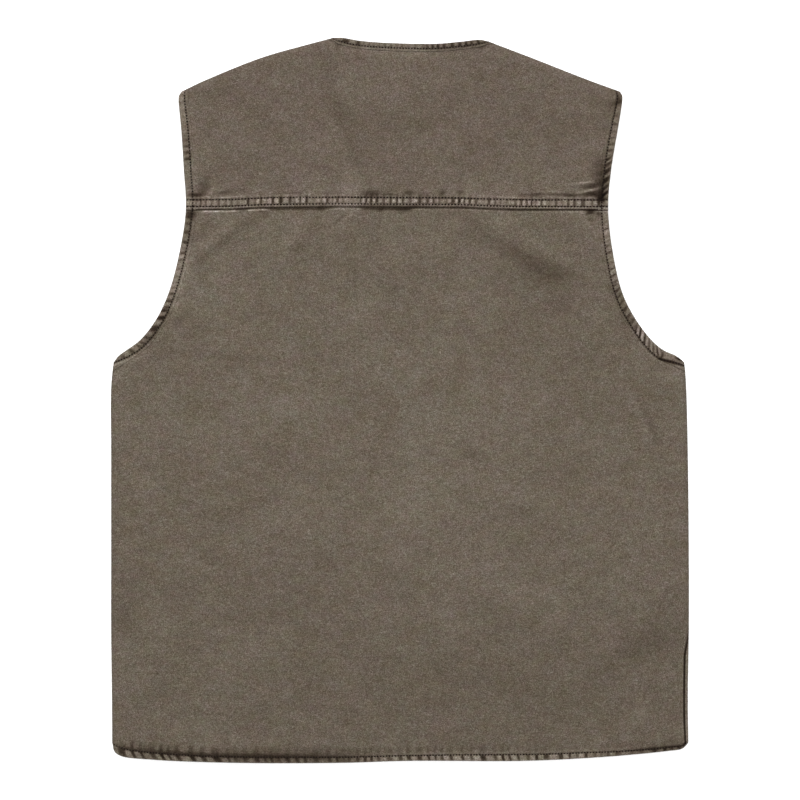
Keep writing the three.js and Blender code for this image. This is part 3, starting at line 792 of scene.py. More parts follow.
class VestShape:
    """The lines of the lying vest, and the height of its cloth everywhere."""

    def __init__(self) -> None:
        """Draws the folds and the open edges of both layers."""
        lines = ClothLine.through
        self.side = {
            Side.LEFT: lines([Spot(row.left, row.y) for row in SIDES], 1),
            Side.RIGHT: lines([Spot(row.right, row.y) for row in SIDES], -1),
        }
        self.shoulder = {
            Side.LEFT: lines(LEFT_SHOULDER, -1),
            Side.RIGHT: lines(RIGHT_SHOULDER, 1),
        }
        self.folds = [*self.side.values(), *self.shoulder.values()]
        self.arm = {(side, layer): self._armhole(side, layer) for side in Side for layer in Layer}
        self.neck = self._back_neck()
        self.front_neck = {side: self._front_neck(side) for side in Side}
        self.hem = {layer: self._hem(layer) for layer in Layer}
        back_arms = [self.arm[side, Layer.BACK] for side in Side]
        lines_round = [*self.folds, *back_arms, self.neck, self.hem[Layer.BACK]]
        self.outline = [line.coarse() for line in lines_round]

    def _armhole(self, side: Side, layer: Layer) -> HemEdge:
        """An armhole's edge from the underarm to the shoulder tip; the front one is scooped inwards.

        Args:
            side: The side of the vest.
            layer: The back or the front.

        Returns:
            The edge, with the look of its hem.
        """
        rows = [Spot(row.left if side is Side.LEFT else row.right, row.y) for row in ARMHOLES]
        last = len(rows) - 1
        if layer is Layer.FRONT:
            scoop = -side.value * FRONT_SCOOP
            bowed = [scoop * math.sin(math.pi * k / last) for k in range(last + 1)]
            rows = [Spot(row.x + bow, row.y) for row, bow in zip(rows, bowed)]
        edge = HemEdge.through(rows, side.value)
        if layer is Layer.FRONT:
            edge.look = HemLook(stitches_at=FRONT_ARM_STITCHES)
        elif side is Side.LEFT:
            edge.look = HemLook(LEFT_ARM_WEAR, LEFT_ARM_ROPES, stitches=LEFT_ARM_STITCHES)
        else:
            edge.look = HemLook(RIGHT_ARM_WEAR, RIGHT_ARM_ROPES, stitches=RIGHT_ARM_STITCHES)
        edge.wraps(0.0, self.side[side].direction(0.0))
        return edge.wraps(edge.length, self.shoulder[side].direction(0.0))

    def _shoulder_end(self, side: Side) -> Array:
        """The way back along a shoulder fold from the neck."""
        shoulder = self.shoulder[side]
        return -shoulder.direction(shoulder.length)

    def _back_neck(self) -> HemEdge:
        """The back neck's edge, from the left shoulder to the right one.

        Returns:
            The edge, with the look of its hem.
        """
        edge = HemEdge.through(NECK, -1)
        edge.look = HemLook(NECK_WEAR, NECK_ROPES, stitches_at=NECK_STITCHES)
        edge.full_width = lambda s: np.full(np.shape(s), NECK_HEM)
        edge.wraps(0.0, self._shoulder_end(Side.LEFT))
        return edge.wraps(edge.length, self._shoulder_end(Side.RIGHT))

    def _front_neck(self, side: Side) -> HemEdge:
        """A front neck edge, from the shoulder to the bottom of the V.

        Args:
            side: The side of the vest.

        Returns:
            The edge, with the look of its hem.
        """
        shoulder = self.shoulder[side]
        top = Spot(*shoulder.at(shoulder.length))
        edge = HemEdge.through([top, Spot(side.value * FRONT_EDGE_X, V_BOTTOM_Y)], side.value)
        edge.look = HemLook(stitches_at=NECK_STITCHES)
        edge.full_width = lambda s: np.full(np.shape(s), NECK_HEM)
        return edge.wraps(0.0, self._shoulder_end(side))

    def _hem(self, layer: Layer) -> HemEdge:
        """The bottom edge of a layer; the front one is a little higher, so that the back hides it.

        Args:
            layer: The back or the front.

        Returns:
            The edge, with the look of its hem.
        """
        rows = list(HEM)
        if layer is Layer.FRONT:
            corner = [min(row.x - HEM[0].x, HEM[-1].x - row.x) for row in rows]
            rises = FRONT_HEM_RISE * smooth(np.array(corner) / FRONT_HEM_BLEND)
            rows = [Spot(row.x, row.y + rise) for row, rise in zip(rows, rises)]
        edge = HemEdge.through(rows, 1)
        if layer is Layer.BACK:
            edge.look = HemLook(BOTTOM_WEAR_AND_SHADE, BOTTOM_ROPES, tapers=True)
            edge.full_width = lambda s: from_table(BOTTOM_STITCHES, edge.at(s)[..., 0])
        else:
            edge.look = HemLook(tapers=True)
            edge.full_width = lambda s: np.full(np.shape(s), FRONT_HEM)
        left, right = self.side[Side.LEFT], self.side[Side.RIGHT]
        edge.wraps(0.0, -left.direction(left.length))
        return edge.wraps(edge.length, -right.direction(right.length))

    def back_height(self, points: Array) -> Array:
        """Height of the back's outer face, low at the edges and higher in the middle.

        Args:
            points: Places on the lying vest.

        Returns:
            The height at each place.
        """
        flat = points.reshape(-1, 2)
        away = np.min([line.foot(flat)[1] for line in self.outline], axis=0)
        height = EDGE_HEIGHT + (CROWN_HEIGHT - EDGE_HEIGHT) * smooth(away / CROWN_REACH)
        return (height + dents(flat, DENTS)).reshape(points.shape[:-1])

    def turn_from(self, points: Array) -> Array:
        """How far the cloth has turned from a fold: 0 on the fold, 1 where it lies level.

        Args:
            points: Places on the lying vest.

        Returns:
            The turn at each place.
        """
        flat = points.reshape(-1, 2)
        away = np.min([line.foot(flat)[1] for line in self.folds], axis=0)
        near = 1 - np.minimum(away / FOLD_REACH, 1)
        return np.sqrt(1 - near**2).reshape(points.shape[:-1])

    def middle(self, points: Array, turn: Array, thickness: float, lift: Array | float = 0.0) -> Array:
        """Places in the middle of the cloth.

        Args:
            points: Places on the lying vest.
            turn: 1 on the back, -1 on the front and 0 on a fold.
            thickness: Of the cloth.
            lift: How far the back is raised there.

        Returns:
            The places in space.
        """
        turn = np.broadcast_to(turn, points.shape[:-1])
        back = self.back_height(points) + lift - thickness / 2 - FOLD_HEIGHT
        rise = np.where(turn > 0, back, FOLD_HEIGHT - thickness / 2)
        return np.concatenate([points, (FOLD_HEIGHT + turn * rise)[..., None]], axis=-1)

    @staticmethod
    def round_fold(fold: ClothLine, first: HemEdge, last: HemEdge, parts: Array, reach: Array) -> Array:
        """Places on cloth that turns round a fold, part of the way between the hems at its ends.

        Args:
            fold: The fold.
            first: The hem at the fold's start.
            last: The hem at its end.
            parts: How far from one hem to the other.
            reach: How far inwards from the fold, for each part.

        Returns:
            The places, one for each part.
        """
        ends, slips = [], []
        for hem, part in ((first, parts), (last, 1 - parts)):
            on_fold, slip = hem.crossings(fold)
            near = smooth(1 - part / SLIP_SHARE)
            ends.append(np.interp(reach, REACHES, on_fold))
            slips.append([near * np.interp(reach, REACHES, slip[:, k]) for k in (0, 1)])
        return fold.offset(lerp(*ends, parts), reach) + np.sum(slips, axis=0).T

    @staticmethod
    def seam_angle(y: Array) -> Array:
        """How far round the right side fold the seam lies at heights on it."""
        return np.radians(from_table(SEAM_ROLL, y))

    def round_side(
        self, side: Side, from_layer: Layer, beside: Array, shape: tuple[int, int]
    ) -> tuple[Array, Array]:
        """The columns that turn round a side fold, from where a layer lies level to the side seam.

        Args:
            side: Which fold.
            from_layer: The layer that the columns start from.
            beside: How far along the fold each row is.
            shape: The number of rows of the whole grid, and of columns.

        Returns:
            The places from the level part outwards, and how far each has turned.
        """
        fold, count = self.side[side], len(beside)
        places, turns = np.full((*shape, 2), np.nan), np.zeros(shape)
        heights = fold.at(beside * fold.length)[:, 1]
        seam = self.seam_angle(heights) if side is Side.RIGHT else np.zeros(count)
        seam = seam + from_layer.value * SIDE_SEAM_GAP / FOLD_REACH
        for k in range(shape[1]):
            angle = lerp(from_layer.value * math.pi / 2, seam, (k + 1) / shape[1])
            for layer, some in ((Layer.FRONT, angle < 0), (Layer.BACK, angle >= 0)):
                hems = self.arm[side, layer], self.hem[layer]
                spots = self.round_fold(fold, *hems, beside, reach_at(angle))
                places[:count, k][some] = spots[some]
            turns[:count, k] = np.sin(angle)
        return places, turns


def dents(points: Array, table: Sequence[Dent]) -> Array:
    """The rise of a table of dents and ridges, or the tone of a table of smudges.

    Args:
        points: Places on the lying vest.
        table: The dents, ridges or smudges.

    Returns:
        The rise or the tone at each place.
    """
    rise = np.zeros(points.shape[:-1])
    for dent in table:
        turn = math.radians(dent.degrees)
        out_x, out_y = points[..., 0] - dent.x, points[..., 1] - dent.y
        across = out_x * math.cos(turn) + out_y * math.sin(turn)
        along = out_y * math.cos(turn) - out_x * math.sin(turn)
        rise += dent.rise * np.exp(-((across / dent.across) ** 2) - (along / dent.along) ** 2)
    return rise


def puckers(s: Array, away: Array, table: Sequence[Stretch]) -> Array:
    """A blocky wave along a seam where it has shrunk.

    Args:
        s: Lengths along the seam.
        away: Distances from it, on which the wave leans.
        table: The parts that have shrunk.

    Returns:
        The wave, about -1 to 1 for a strength of 1.
    """
    wave = np.zeros(np.shape(s))
    for part in table:
        inside = smooth((s - part.start) / PUCKER_FADE) * smooth((part.stop - s) / PUCKER_FADE)
        t = s + part.lean * away
        wander = WANDER * np.sin(t / WANDER_OVER + part.start) + JITTER * np.sin(t / JITTER_OVER)
        phase = t / part.pitch + wander
        bar = np.floor(phase) + part.start
        uneven = BAR_LEAST + BAR_SPREAD * scatter(bar)
        light = part.light + LIGHT_SPREAD * (scatter(bar + 0.5) - 0.5)
        bars = np.tanh(BAR_STEEPNESS * np.sin(2 * math.pi * phase) + light)
        wave += part.strength * inside * uneven * bars
    return wave


def coons(left: Array, right: Array, bottom: Array, top: Array, u: Array) -> Array:
    """A grid of places between four boundary lines, with its corners at the ends of the first two.

    Args:
        left: The first column, whose heights space the rows.
        right: The last column.
        bottom: The first row, one place for each division across.
        top: The last row.
        u: Divisions across, from 0 to 1.

    Returns:
        The grid, rows by columns.
    """
    bottom[0], bottom[-1], top[0], top[-1] = left[0], right[0], left[-1], right[-1]
    v = (left[:, 1] - left[0, 1]) / (left[-1, 1] - left[0, 1])
    u, v = u[None, :, None], v[:, None, None]
    sides = (1 - u) * left[:, None] + u * right[:, None]
    ends = (1 - v) * bottom[None] + v * top[None]
    low = (1 - u) * left[0] + u * right[0]
    high = (1 - u) * left[-1] + u * right[-1]
    return sides + ends - (1 - v) * low - v * high


def graded(total: float, fine: float, fine_step: float, step: float) -> Array:
    """Lengths from 0 to a total, close together over a first stretch and wider after it.

    Args:
        total: The last length.
        fine: Where the first stretch ends.
        fine_step: The step on it.
        step: The step after it.

    Returns:
        The lengths.
    """
    near = np.linspace(0, fine, round(fine / fine_step) + 1)
    far = np.linspace(fine, total, max(round((total - fine) / step), 1) + 1)
    return np.concatenate([near, far[1:]])


@dataclass
class Shell:
    """A wall of cloth round a grid of places in its middle.

    The grid is rows by columns by 3, with nan where there is no cloth. swell is the rise of the
    outer face, tone how faded (above 0) or dark (below 0) it is, and keep the places that the mesh
    uses, so that some rows can be finer than others.
    """

    name: str
    middle: Array
    thickness: Array | float
    outward: int
    swell: Array | float = 0.0
    tone: Array | float = 0.0
    keep: Array | None = None
    closed: bool = False

    def _normals(self) -> Array:
        """The outward direction at each place of the grid.

        Returns:
            The directions, of length 1.
        """
        grid = self.middle

        def step(axis: int, by: int) -> Array:
            """The places next to those of the grid.

            Args:
                axis: 0 along a column, 1 along a row.
                by: 1 for the next place, -1 for the one before.

            Returns:
                The neighbours, or the places themselves where they have none.
            """
            moved = np.roll(grid, -by, axis=axis)
            if not (self.closed and axis == 1):
                edge = [slice(None)] * 2
                edge[axis] = -1 if by > 0 else 0
                moved[tuple(edge)] = np.nan
            return np.where(np.isnan(moved), grid, moved)

        normal = np.cross(step(1, 1) - step(1, -1), step(0, 1) - step(0, -1))
        return self.outward * normal / np.linalg.norm(normal, axis=2, keepdims=True)

    def _rings(self, index: Array, keep: Array) -> list[list[int]]:
        """The outer face's polygons, as rings of place numbers.

        Args:
            index: The number of each place.
            keep: The places that the mesh uses.

        Returns:
            The rings, in the order that faces outwards.
        """
        there = ~np.isnan(self.middle[..., 0])
        rings = []
        for r in range(len(keep) - 1):
            whole = there[r] & there[r + 1]
            shared = np.flatnonzero(keep[r] & keep[r + 1])
            for a, b in zip(shared, shared[1:]):
                if whole[a : b + 1].all():
                    low = [c for c in range(a, b + 1) if keep[r, c]]
                    high = [c for c in range(b, a - 1, -1) if keep[r + 1, c]]
                    rings.append([*index[r, low], *index[r + 1, high]])
            if self.closed:
                a, b = shared[-1], shared[0]
                rings.append([index[r, a], index[r, b], index[r + 1, b], index[r + 1, a]])
        return rings if self.outward > 0 else [ring[::-1] for ring in rings]

    def build(self, finish: bpy.types.Material) -> bpy.types.Object:
        """Makes the closed mesh of the wall.

        Args:
            finish: Its material.

        Returns:
            The new object, linked to the scene.
        """
        keep = ~np.isnan(self.middle[..., 0])
        if self.keep is not None:
            keep &= self.keep
        shape = keep.shape
        thickness = np.broadcast_to(self.thickness, shape)[..., None]
        swell = np.broadcast_to(self.swell, shape)[..., None]
        normals = self._normals()
        outer = (self.middle + normals * (thickness / 2 + swell))[keep]
        inner = (self.middle - normals * thickness / 2)[keep]
        index = np.full(shape, -1)
        count = int(keep.sum())
        index[keep] = np.arange(count)
        faces = self._rings(index, keep)
        edges = {(a, b) for ring in faces for a, b in zip(ring, [*ring[1:], ring[0]])}
        inside = [[k + count for k in reversed(ring)] for ring in faces]
        walls = [[b, a, a + count, b + count] for a, b in edges if (b, a) not in edges]
        tone = np.broadcast_to(self.tone, shape)[keep]
        places = np.vstack([outer, inner])
        return make_object(self.name, places, faces + inside + sorted(walls), finish, np.tile(tone, 2))


def make_object(
    name: str,
    places: Array,
    faces: list[list[int]],
    finish: bpy.types.Material,
    tone: Array | None = None,
) -> bpy.types.Object:
    """Makes a smooth mesh object at the origin.

    Args:
        name: The piece's name.
        places: Its corners, in millimetres.
        faces: Its polygons, as rings of corner numbers.
        finish: Its material.
        tone: How faded or dark it is at each corner.

    Returns:
        The new object, linked to the scene.
    """
    mesh = bpy.data.meshes.new(name)
    mesh.from_pydata((places * MM).tolist(), [], [[int(k) for k in ring] for ring in faces])
    mesh.polygons.foreach_set("use_smooth", [True] * len(mesh.polygons))
    if tone is not None:
        layer = mesh.attributes.new("tone", "FLOAT", "POINT")
        layer.data.foreach_set("value", tone.astype(np.float32))
    mesh.materials.append(finish)
    mesh.update()
    piece = bpy.data.objects.new(name, mesh)
    bpy.context.scene.collection.objects.link(piece)
    return piece


@dataclass
class Relief:
    """Small rises of the cloth at its seams and hems, with the fading and dirt that go with them, and
    painted shade and highlights.

    Each method gives a swell in millimetres and a tone. The tone is above 0 where the cloth is faded and
    where highlights are painted, and below 0 where it is dark with dirt and where shade is painted. Places
    on the yoke seam are measured up from the lap's edge, and places on a hem from its edge or its stitches.
    """

    shape: VestShape
    band: tuple[float, float] = (3.4, 9.2)
    band_soft: float = 0.8
    band_rise: float = 0.3
    band_pucker: float = 0.35
    band_fade: float = 0.28
    pale_bars: float = 0.6
    dark_bars: float = 1.1
    spill: tuple[float, float] = (9.0, 13.4)
    spill_soft: float = 1.4
    spill_bars: float = 0.45
    lap_round: float = 0.9
    lap_drop: float = 0.5
    strip_half: float = 0.5
    strip_soft: float = 1.6
    strip_rise: float = 0.35
    strip_bulge: float = 0.35
    pale_ropes: float = 0.4
    dark_ropes: float = 0.8
    rim_ropes: float = 0.5
    rope_rise: float = 0.2
    groove_tone_half: float = 0.8
    groove_tone_widen: float = 0.9
    groove_half: float = 0.9
    groove_depth: float = 0.5
    ridge_tone_at: float = 2.1
    ridge_tone_half: float = 1.1
    ridge_at: float = 2.2
    ridge_half: float = 1.3
    ridge_rise: float = 0.3
    beyond: tuple[float, float] = (0.8, 4.0)
    beyond_soft: float = 2.0
    beyond_fade: float = 8.0
    beyond_ropes: float = 0.8

    @staticmethod
    def above_lap(points: Array) -> Array:
        """How far above the yoke's lower edge places are."""
        return points[..., 1] - from_table(YOKE_EDGE, points[..., 0])

    def yoke_lift(self, points: Array, edge: float = 0.0) -> Array:
        """How far the cloth is raised by the yoke's lap.

        Args:
            points: Places on the back.
            edge: The width over which the rise at the lap's edge is softened.

        Returns:
            The rise at each place.
        """
        above = self.above_lap(points)
        settled = smooth((above - YOKE_SETTLE_FROM) / YOKE_SETTLE_OVER)
        start = smooth(above / edge + 0.5) if edge else (above > -LAP_SLACK)
        return YOKE_LIFT * (1 - settled) * start

    def seam(self, points: Array) -> tuple[Array, Array]:
        """The yoke seam: two stitched grooves, a puckered band between them and ridges beside them.

        Args:
            points: Places on the back.

        Returns:
            The swell and the tone at each place.
        """
        above, x = self.above_lap(points), points[..., 0]
        wave = puckers(x, above, SEAM_PUCKERS)
        soft = self.band_soft
        band = smooth((above - self.band[0]) / soft) * smooth((self.band[1] - above) / soft)
        spill = smooth((above - self.spill[0]) / soft) * smooth((self.spill[1] - above) / self.spill_soft)
        corner = np.where(above >= 0, (1 - np.minimum(above / self.lap_round, 1)) ** 2, 0)
        swell = band * (self.band_rise + self.band_pucker * wave) - self.lap_drop * corner
        for ridge in SEAM_RIDGES:
            swell = swell + ridge.rise * bell(above, ridge.above, ridge.half)
        bars = np.where(wave > 0, self.pale_bars, self.dark_bars) * wave
        tone = band * (self.band_fade + bars) + self.spill_bars * spill * np.minimum(wave, 0)
        # Among these tone lines are a painted shadow under the lap's edge, and painted highlights and shade
        # on the puckers below it.
        for line in SEAM_TONES:
            tone = tone + line.strength * from_table(line.tones, x) * bell(above, line.above, line.half)
        return swell, tone

    def hem(self, edge: HemEdge, s: Array, away: Array) -> tuple[Array, Array]:
        """A hem and the cloth beside it.

        Args:
            edge: The hem's edge.
            s: Lengths along it.
            away: Distances from it.

        Returns:
            The swell and the tone: a rounded edge, a groove at the stitches and a ridge beyond them.
        """
        look, table = edge.look, np.array(edge.look.wear)
        rim, middle, groove, ridge, beyond = (np.interp(s, table[:, 0], table[:, k]) for k in range(1, 6))
        stitch = edge.stitches(s)
        past = away - stitch
        inside = smooth(away / (self.strip_half * stitch))
        on_strip = 1 - smooth(past / self.strip_soft + 1)
        rope = puckers(s, away, look.ropes) * on_strip
        bars = np.where(rope > 0, self.pale_ropes, self.dark_ropes) * rope
        tone = on_strip * lerp(rim, middle, inside) + bars * lerp(self.rim_ropes, 1.0, inside)
        groove_half = self.groove_tone_half + self.groove_tone_widen * np.abs(groove)
        tone = tone + groove * bell(past, 0.0, groove_half)
        tone = tone + ridge * bell(past, self.ridge_tone_at, self.ridge_tone_half)
        there = smooth((past - self.beyond[0]) / self.beyond_soft)
        there = there * (1 - smooth((past - self.beyond[1]) / self.beyond_fade))
        tone = tone + beyond * there * (1 - self.beyond_ropes * puckers(s, stitch, look.ropes))
        swell = self.strip_rise * bell(away, self.strip_half * stitch, self.strip_bulge * stitch)
        swell = swell - self.groove_depth * bell(past, 0.0, self.groove_half)
        swell = swell + self.ridge_rise * bell(past, self.ridge_at, self.ridge_half)
        return swell + self.rope_rise * rope, tone

    def margins(self, points: Array) -> tuple[Array, Array]:
        """The back beside its hems.

        Args:
            points: Places on the back.

        Returns:
            The swell and the tone at each place.
        """
        swell, tone = np.zeros(points.shape[:-1]), np.zeros(points.shape[:-1])
        arms = [self.shape.arm[side, Layer.BACK] for side in Side]
        for edge in [*arms, self.shape.neck, self.shape.hem[Layer.BACK]]:
            near = edge.coarse().foot(points.reshape(-1, 2))[1].reshape(swell.shape) < MARGIN_REACH
            s, away = edge.foot(points[near])
            more_swell, more_tone = self.hem(edge, s, away)
            on_edge = smooth(np.minimum(s, edge.length - s) / END_FADE)
            tucked = smooth((edge.width(s) + TUCK_CLEAR - away) / TUCK)
            swell[near] += more_swell * on_edge - TUCK_DROP * tucked
            tone[near] += more_tone * on_edge
        return swell, tone

    @staticmethod
    def smudges_and_shading(points: Array) -> tuple[Array, Array]:
        """Creases, smudges and faded patches away from the seams, and painted shade and highlights at
        creases and round the yoke's lap.
        """
        return dents(points, CREASES), dents(points, SMUDGES_AND_SHADING)


@dataclass
class BackCloth:
    """The back's two pieces, the panel and the yoke that laps over it."""

    shape: VestShape
    relief: Relief
    step: float = 4.2
    fine_step: float = 1.2
    fine: float = 19.0
    yoke_fine: float = 33.0
    edge: float = 13.0
    level_turn: float = 0.5

    def _across(self, width: float) -> tuple[Array, Array]:
        """Divisions across a piece, close together beside its edges.

        Args:
            width: Of the piece.

        Returns:
            The divisions from 0 to 1, and which of them the wide rows keep.
        """
        near = np.linspace(0, self.edge / width, round(self.edge / self.fine_step) + 1)
        count = COLUMN_SPLIT * round((width - 2 * self.edge) / self.step)
        middle = np.linspace(near[-1], 1 - near[-1], count + 1)
        keep = np.ones(2 * len(near) + count - 1, bool)
        inner = np.arange(count + 1)
        keep[len(near) - 1 : len(near) + count] = inner % COLUMN_SPLIT == 0
        return np.concatenate([near, middle[1:-1], 1 - near[::-1]]), keep

    def _finish(self, name: str, places: Array, turn: Array, keep: Array, lift: Array | float) -> Shell:
        """Raises a grid of places to the back's height and adds the relief.

        Args:
            name: The piece's name.
            places: The grid on the lying vest.
            turn: How far the cloth has turned at each place.
            keep: The places that the mesh uses.
            lift: How far the cloth is raised.

        Returns:
            The wall of cloth.
        """
        there = ~np.isnan(places[..., 0])
        middle = np.full((*places.shape[:2], 3), np.nan)
        lift = np.broadcast_to(lift, there.shape)
        middle[there] = self.shape.middle(places[there], turn[there], CLOTH, lift[there])
        swell, tone = np.zeros(there.shape), np.zeros(there.shape)
        top = there & (turn > self.level_turn)
        for some in (self.relief.seam, self.relief.margins, self.relief.smudges_and_shading):
            more_swell, more_tone = some(places[top])
            swell[top] += more_swell
            tone[top] += more_tone
        return Shell(name, middle, CLOTH, 1, swell, tone, keep)

    def panel(self) -> Shell:
        """The main panel, from the bottom hem to under the yoke, round both sides to the side seams.

        Returns:
            Its wall of cloth.
        """
        shape = self.shape
        hem = shape.hem[Layer.BACK]
        edges, sides, turns = {}, {}, {}
        length = shape.side[Side.LEFT].length
        beside = 1 - graded(length, self.fine, self.fine_step, self.step) / length
        rise = 1 - graded(1.0, self.fine / CLIMB, self.fine_step / CLIMB, self.step / CLIMB)[::-1]
        for side in Side:
            fold, arm = shape.side[side], shape.arm[side, Layer.BACK]
            level = shape.round_fold(fold, arm, hem, beside, np.full(len(beside), FOLD_REACH))
            start = arm.crossing(fold, FOLD_REACH)[1]
            stop = arm.length_at_height(YOKE_END_Y + YOKE_UNDERLAP)
            climb = lerp(start, stop, rise)
            edges[side] = np.vstack([level, arm.panel_point(climb)[1:]])
            size = (len(edges[side]), TURN_STEPS)
            sides[side], turns[side] = shape.round_side(side, Layer.BACK, beside, size)
        left, right = edges[Side.LEFT], edges[Side.RIGHT]
        u, kept = self._across(float(right[0, 0] - left[0, 0]))
        ends = [hem.crossing(shape.side[side], FOLD_REACH)[1] for side in Side]
        bottom = hem.panel_point(lerp(ends[0], ends[1], u))
        top = lerp(left[-1], right[-1], u[:, None])
        top[:, 1] = from_table(YOKE_EDGE, top[:, 0]) + YOKE_UNDERLAP
        level = coons(left, right, bottom, top, u)
        places = np.concatenate([sides[Side.LEFT][:, ::-1], level, sides[Side.RIGHT]], axis=1)
        ones = np.ones(level.shape[:2])
        turn = np.concatenate([turns[Side.LEFT][:, ::-1], ones, turns[Side.RIGHT]], axis=1)
        always = np.ones(TURN_STEPS, bool)
        keep = np.tile(np.concatenate([always, kept, always]), (len(places), 1))
        fine_rows = round(self.fine / self.fine_step)
        keep[: fine_rows + 1] = True
        keep[-fine_rows - 1 :] = True
        shell = self._finish("back_cloth", places, turn, keep, 0.0)
        shell.tone += self._ditch_shade(places)
        return shell

    def _ditch_shade(self, places: Array) -> Array:
        """Painted shadow in the ditch of the side seam where it has rolled on to the back, and a painted
        highlight on the back's edge beside it.

        Args:
            places: The panel's grid, whose last columns are beside the ditch.

        Returns:
            The tone at each place.
        """
        tone = np.zeros(places.shape[:2])
        angle = np.nan_to_num(self.shape.seam_angle(places[:, -1, 1]))
        rolled = smooth(angle / math.radians(DITCH_ROLL))
        for column, dirt_and_shade in enumerate(DITCH_SHADE_TONES, 1):
            tone[:, -column] = dirt_and_shade * rolled
        return tone

    def yoke(self) -> Shell:
        """The yoke, from its lap to the neck, over both shoulders to the seams on the front.

        Returns:
            Its wall of cloth.
        """
        shape = self.shape
        edges = []
        rise = graded(1.0, self.yoke_fine / YOKE_CLIMB, self.fine_step / YOKE_CLIMB, self.step / YOKE_CLIMB)
        for side in Side:
            arm = shape.arm[side, Layer.BACK]
            start = arm.length_at_height(YOKE_END_Y)
            stop = arm.crossing(shape.shoulder[side], FOLD_REACH)[1]
            edges.append(arm.panel_point(lerp(start, stop, rise)))
        left, right = edges
        u, kept = self._across(float(right[0, 0] - left[0, 0]))
        bottom = lerp(left[0], right[0], u[:, None])
        bottom[:, 1] = from_table(YOKE_EDGE, bottom[:, 0])
        top, on = self._top(u, kept)
        level = coons(left, right, bottom, top, u)
        wraps, turns = self._over_shoulders(u, on)
        places = np.concatenate([level, wraps])
        turn = np.concatenate([np.ones(level.shape[:2]), turns])
        keep = np.tile(kept, (len(places), 1))
        fine_rows = round(self.yoke_fine / self.fine_step)
        keep[: fine_rows + 1] = True
        lift = np.zeros(turn.shape)
        lift[: len(level)] = self.relief.yoke_lift(level)
        return self._finish("yoke_cloth", places, turn, keep, lift)

    def _top(self, u: Array, kept: Array) -> tuple[Array, dict[Side, Array]]:
        """The yoke's top line: along a shoulder, along the neck's hem, and along the other shoulder.

        Args:
            u: Divisions across the yoke.
            kept: Which of them the wide rows keep; the line's corners are on some of these.

        Returns:
            The line, and for each side how far along its shoulder each division is, or nan.
        """
        shape = self.shape
        neck = shape.neck
        on, runs = {}, {}
        for side in Side:
            shoulder = shape.shoulder[side]
            tip = shape.arm[side, Layer.BACK].crossing(shoulder, FOLD_REACH)[0]
            end, at_neck = neck.crossing(shoulder, FOLD_REACH)
            runs[side] = (tip, end, at_neck)
        lengths = [runs[Side.LEFT][1] - runs[Side.LEFT][0]]
        lengths.append(runs[Side.RIGHT][2] - runs[Side.LEFT][2])
        lengths.append(runs[Side.RIGHT][1] - runs[Side.RIGHT][0])
        stops = np.cumsum([0.0, *lengths]) / sum(lengths)
        k1, k2 = (int(np.where(kept, np.abs(u - stop), 1.0).argmin()) for stop in stops[1:3])
        left_part = np.clip(u / u[k1], 0, 1)
        right_part = np.clip((1 - u) / (1 - u[k2]), 0, 1)
        middle = np.clip((u - u[k1]) / (u[k2] - u[k1]), 0, 1)
        top = neck.panel_point(lerp(runs[Side.LEFT][2], runs[Side.RIGHT][2], middle))
        reach = np.full(len(u), FOLD_REACH)
        arms = shape.arm
        for side, part, some in (
            (Side.LEFT, left_part, np.arange(len(u)) <= k1),
            (Side.RIGHT, right_part, np.arange(len(u)) >= k2),
        ):
            along = shape.round_fold(shape.shoulder[side], arms[side, Layer.BACK], neck, part, reach)
            top[some] = along[some]
            on[side] = np.where(some, part, np.nan)
        return top, on

    def _over_shoulders(self, u: Array, on: dict[Side, Array]) -> tuple[Array, Array]:
        """The rows that turn over the shoulders and end at the seams on the front.

        Args:
            u: Divisions across the yoke.
            on: How far along each shoulder each division is, or nan.

        Returns:
            The rows of places, and how far each has turned.
        """
        shape = self.shape
        angles = np.linspace(math.pi / 2, -math.pi / 2, 2 * TURN_STEPS + 1)[1:]
        reaches = [*reach_at(angles), SHOULDER_SEAM]
        turns = [*np.sin(angles), -1.0]
        rows = np.full((len(reaches), len(u), 2), np.nan)
        for side in Side:
            some = ~np.isnan(on[side])
            for k, (reach, turn) in enumerate(zip(reaches, turns)):
                layer = Layer.BACK if turn > 0 else Layer.FRONT
                neck = shape.neck if turn > 0 else shape.front_neck[side]
                full = np.full(int(some.sum()), reach)
                arm = shape.arm[side, layer]
                rows[k, some] = shape.round_fold(shape.shoulder[side], arm, neck, on[side][some], full)
        return rows, np.tile(np.array(turns)[:, None], (1, len(u)))


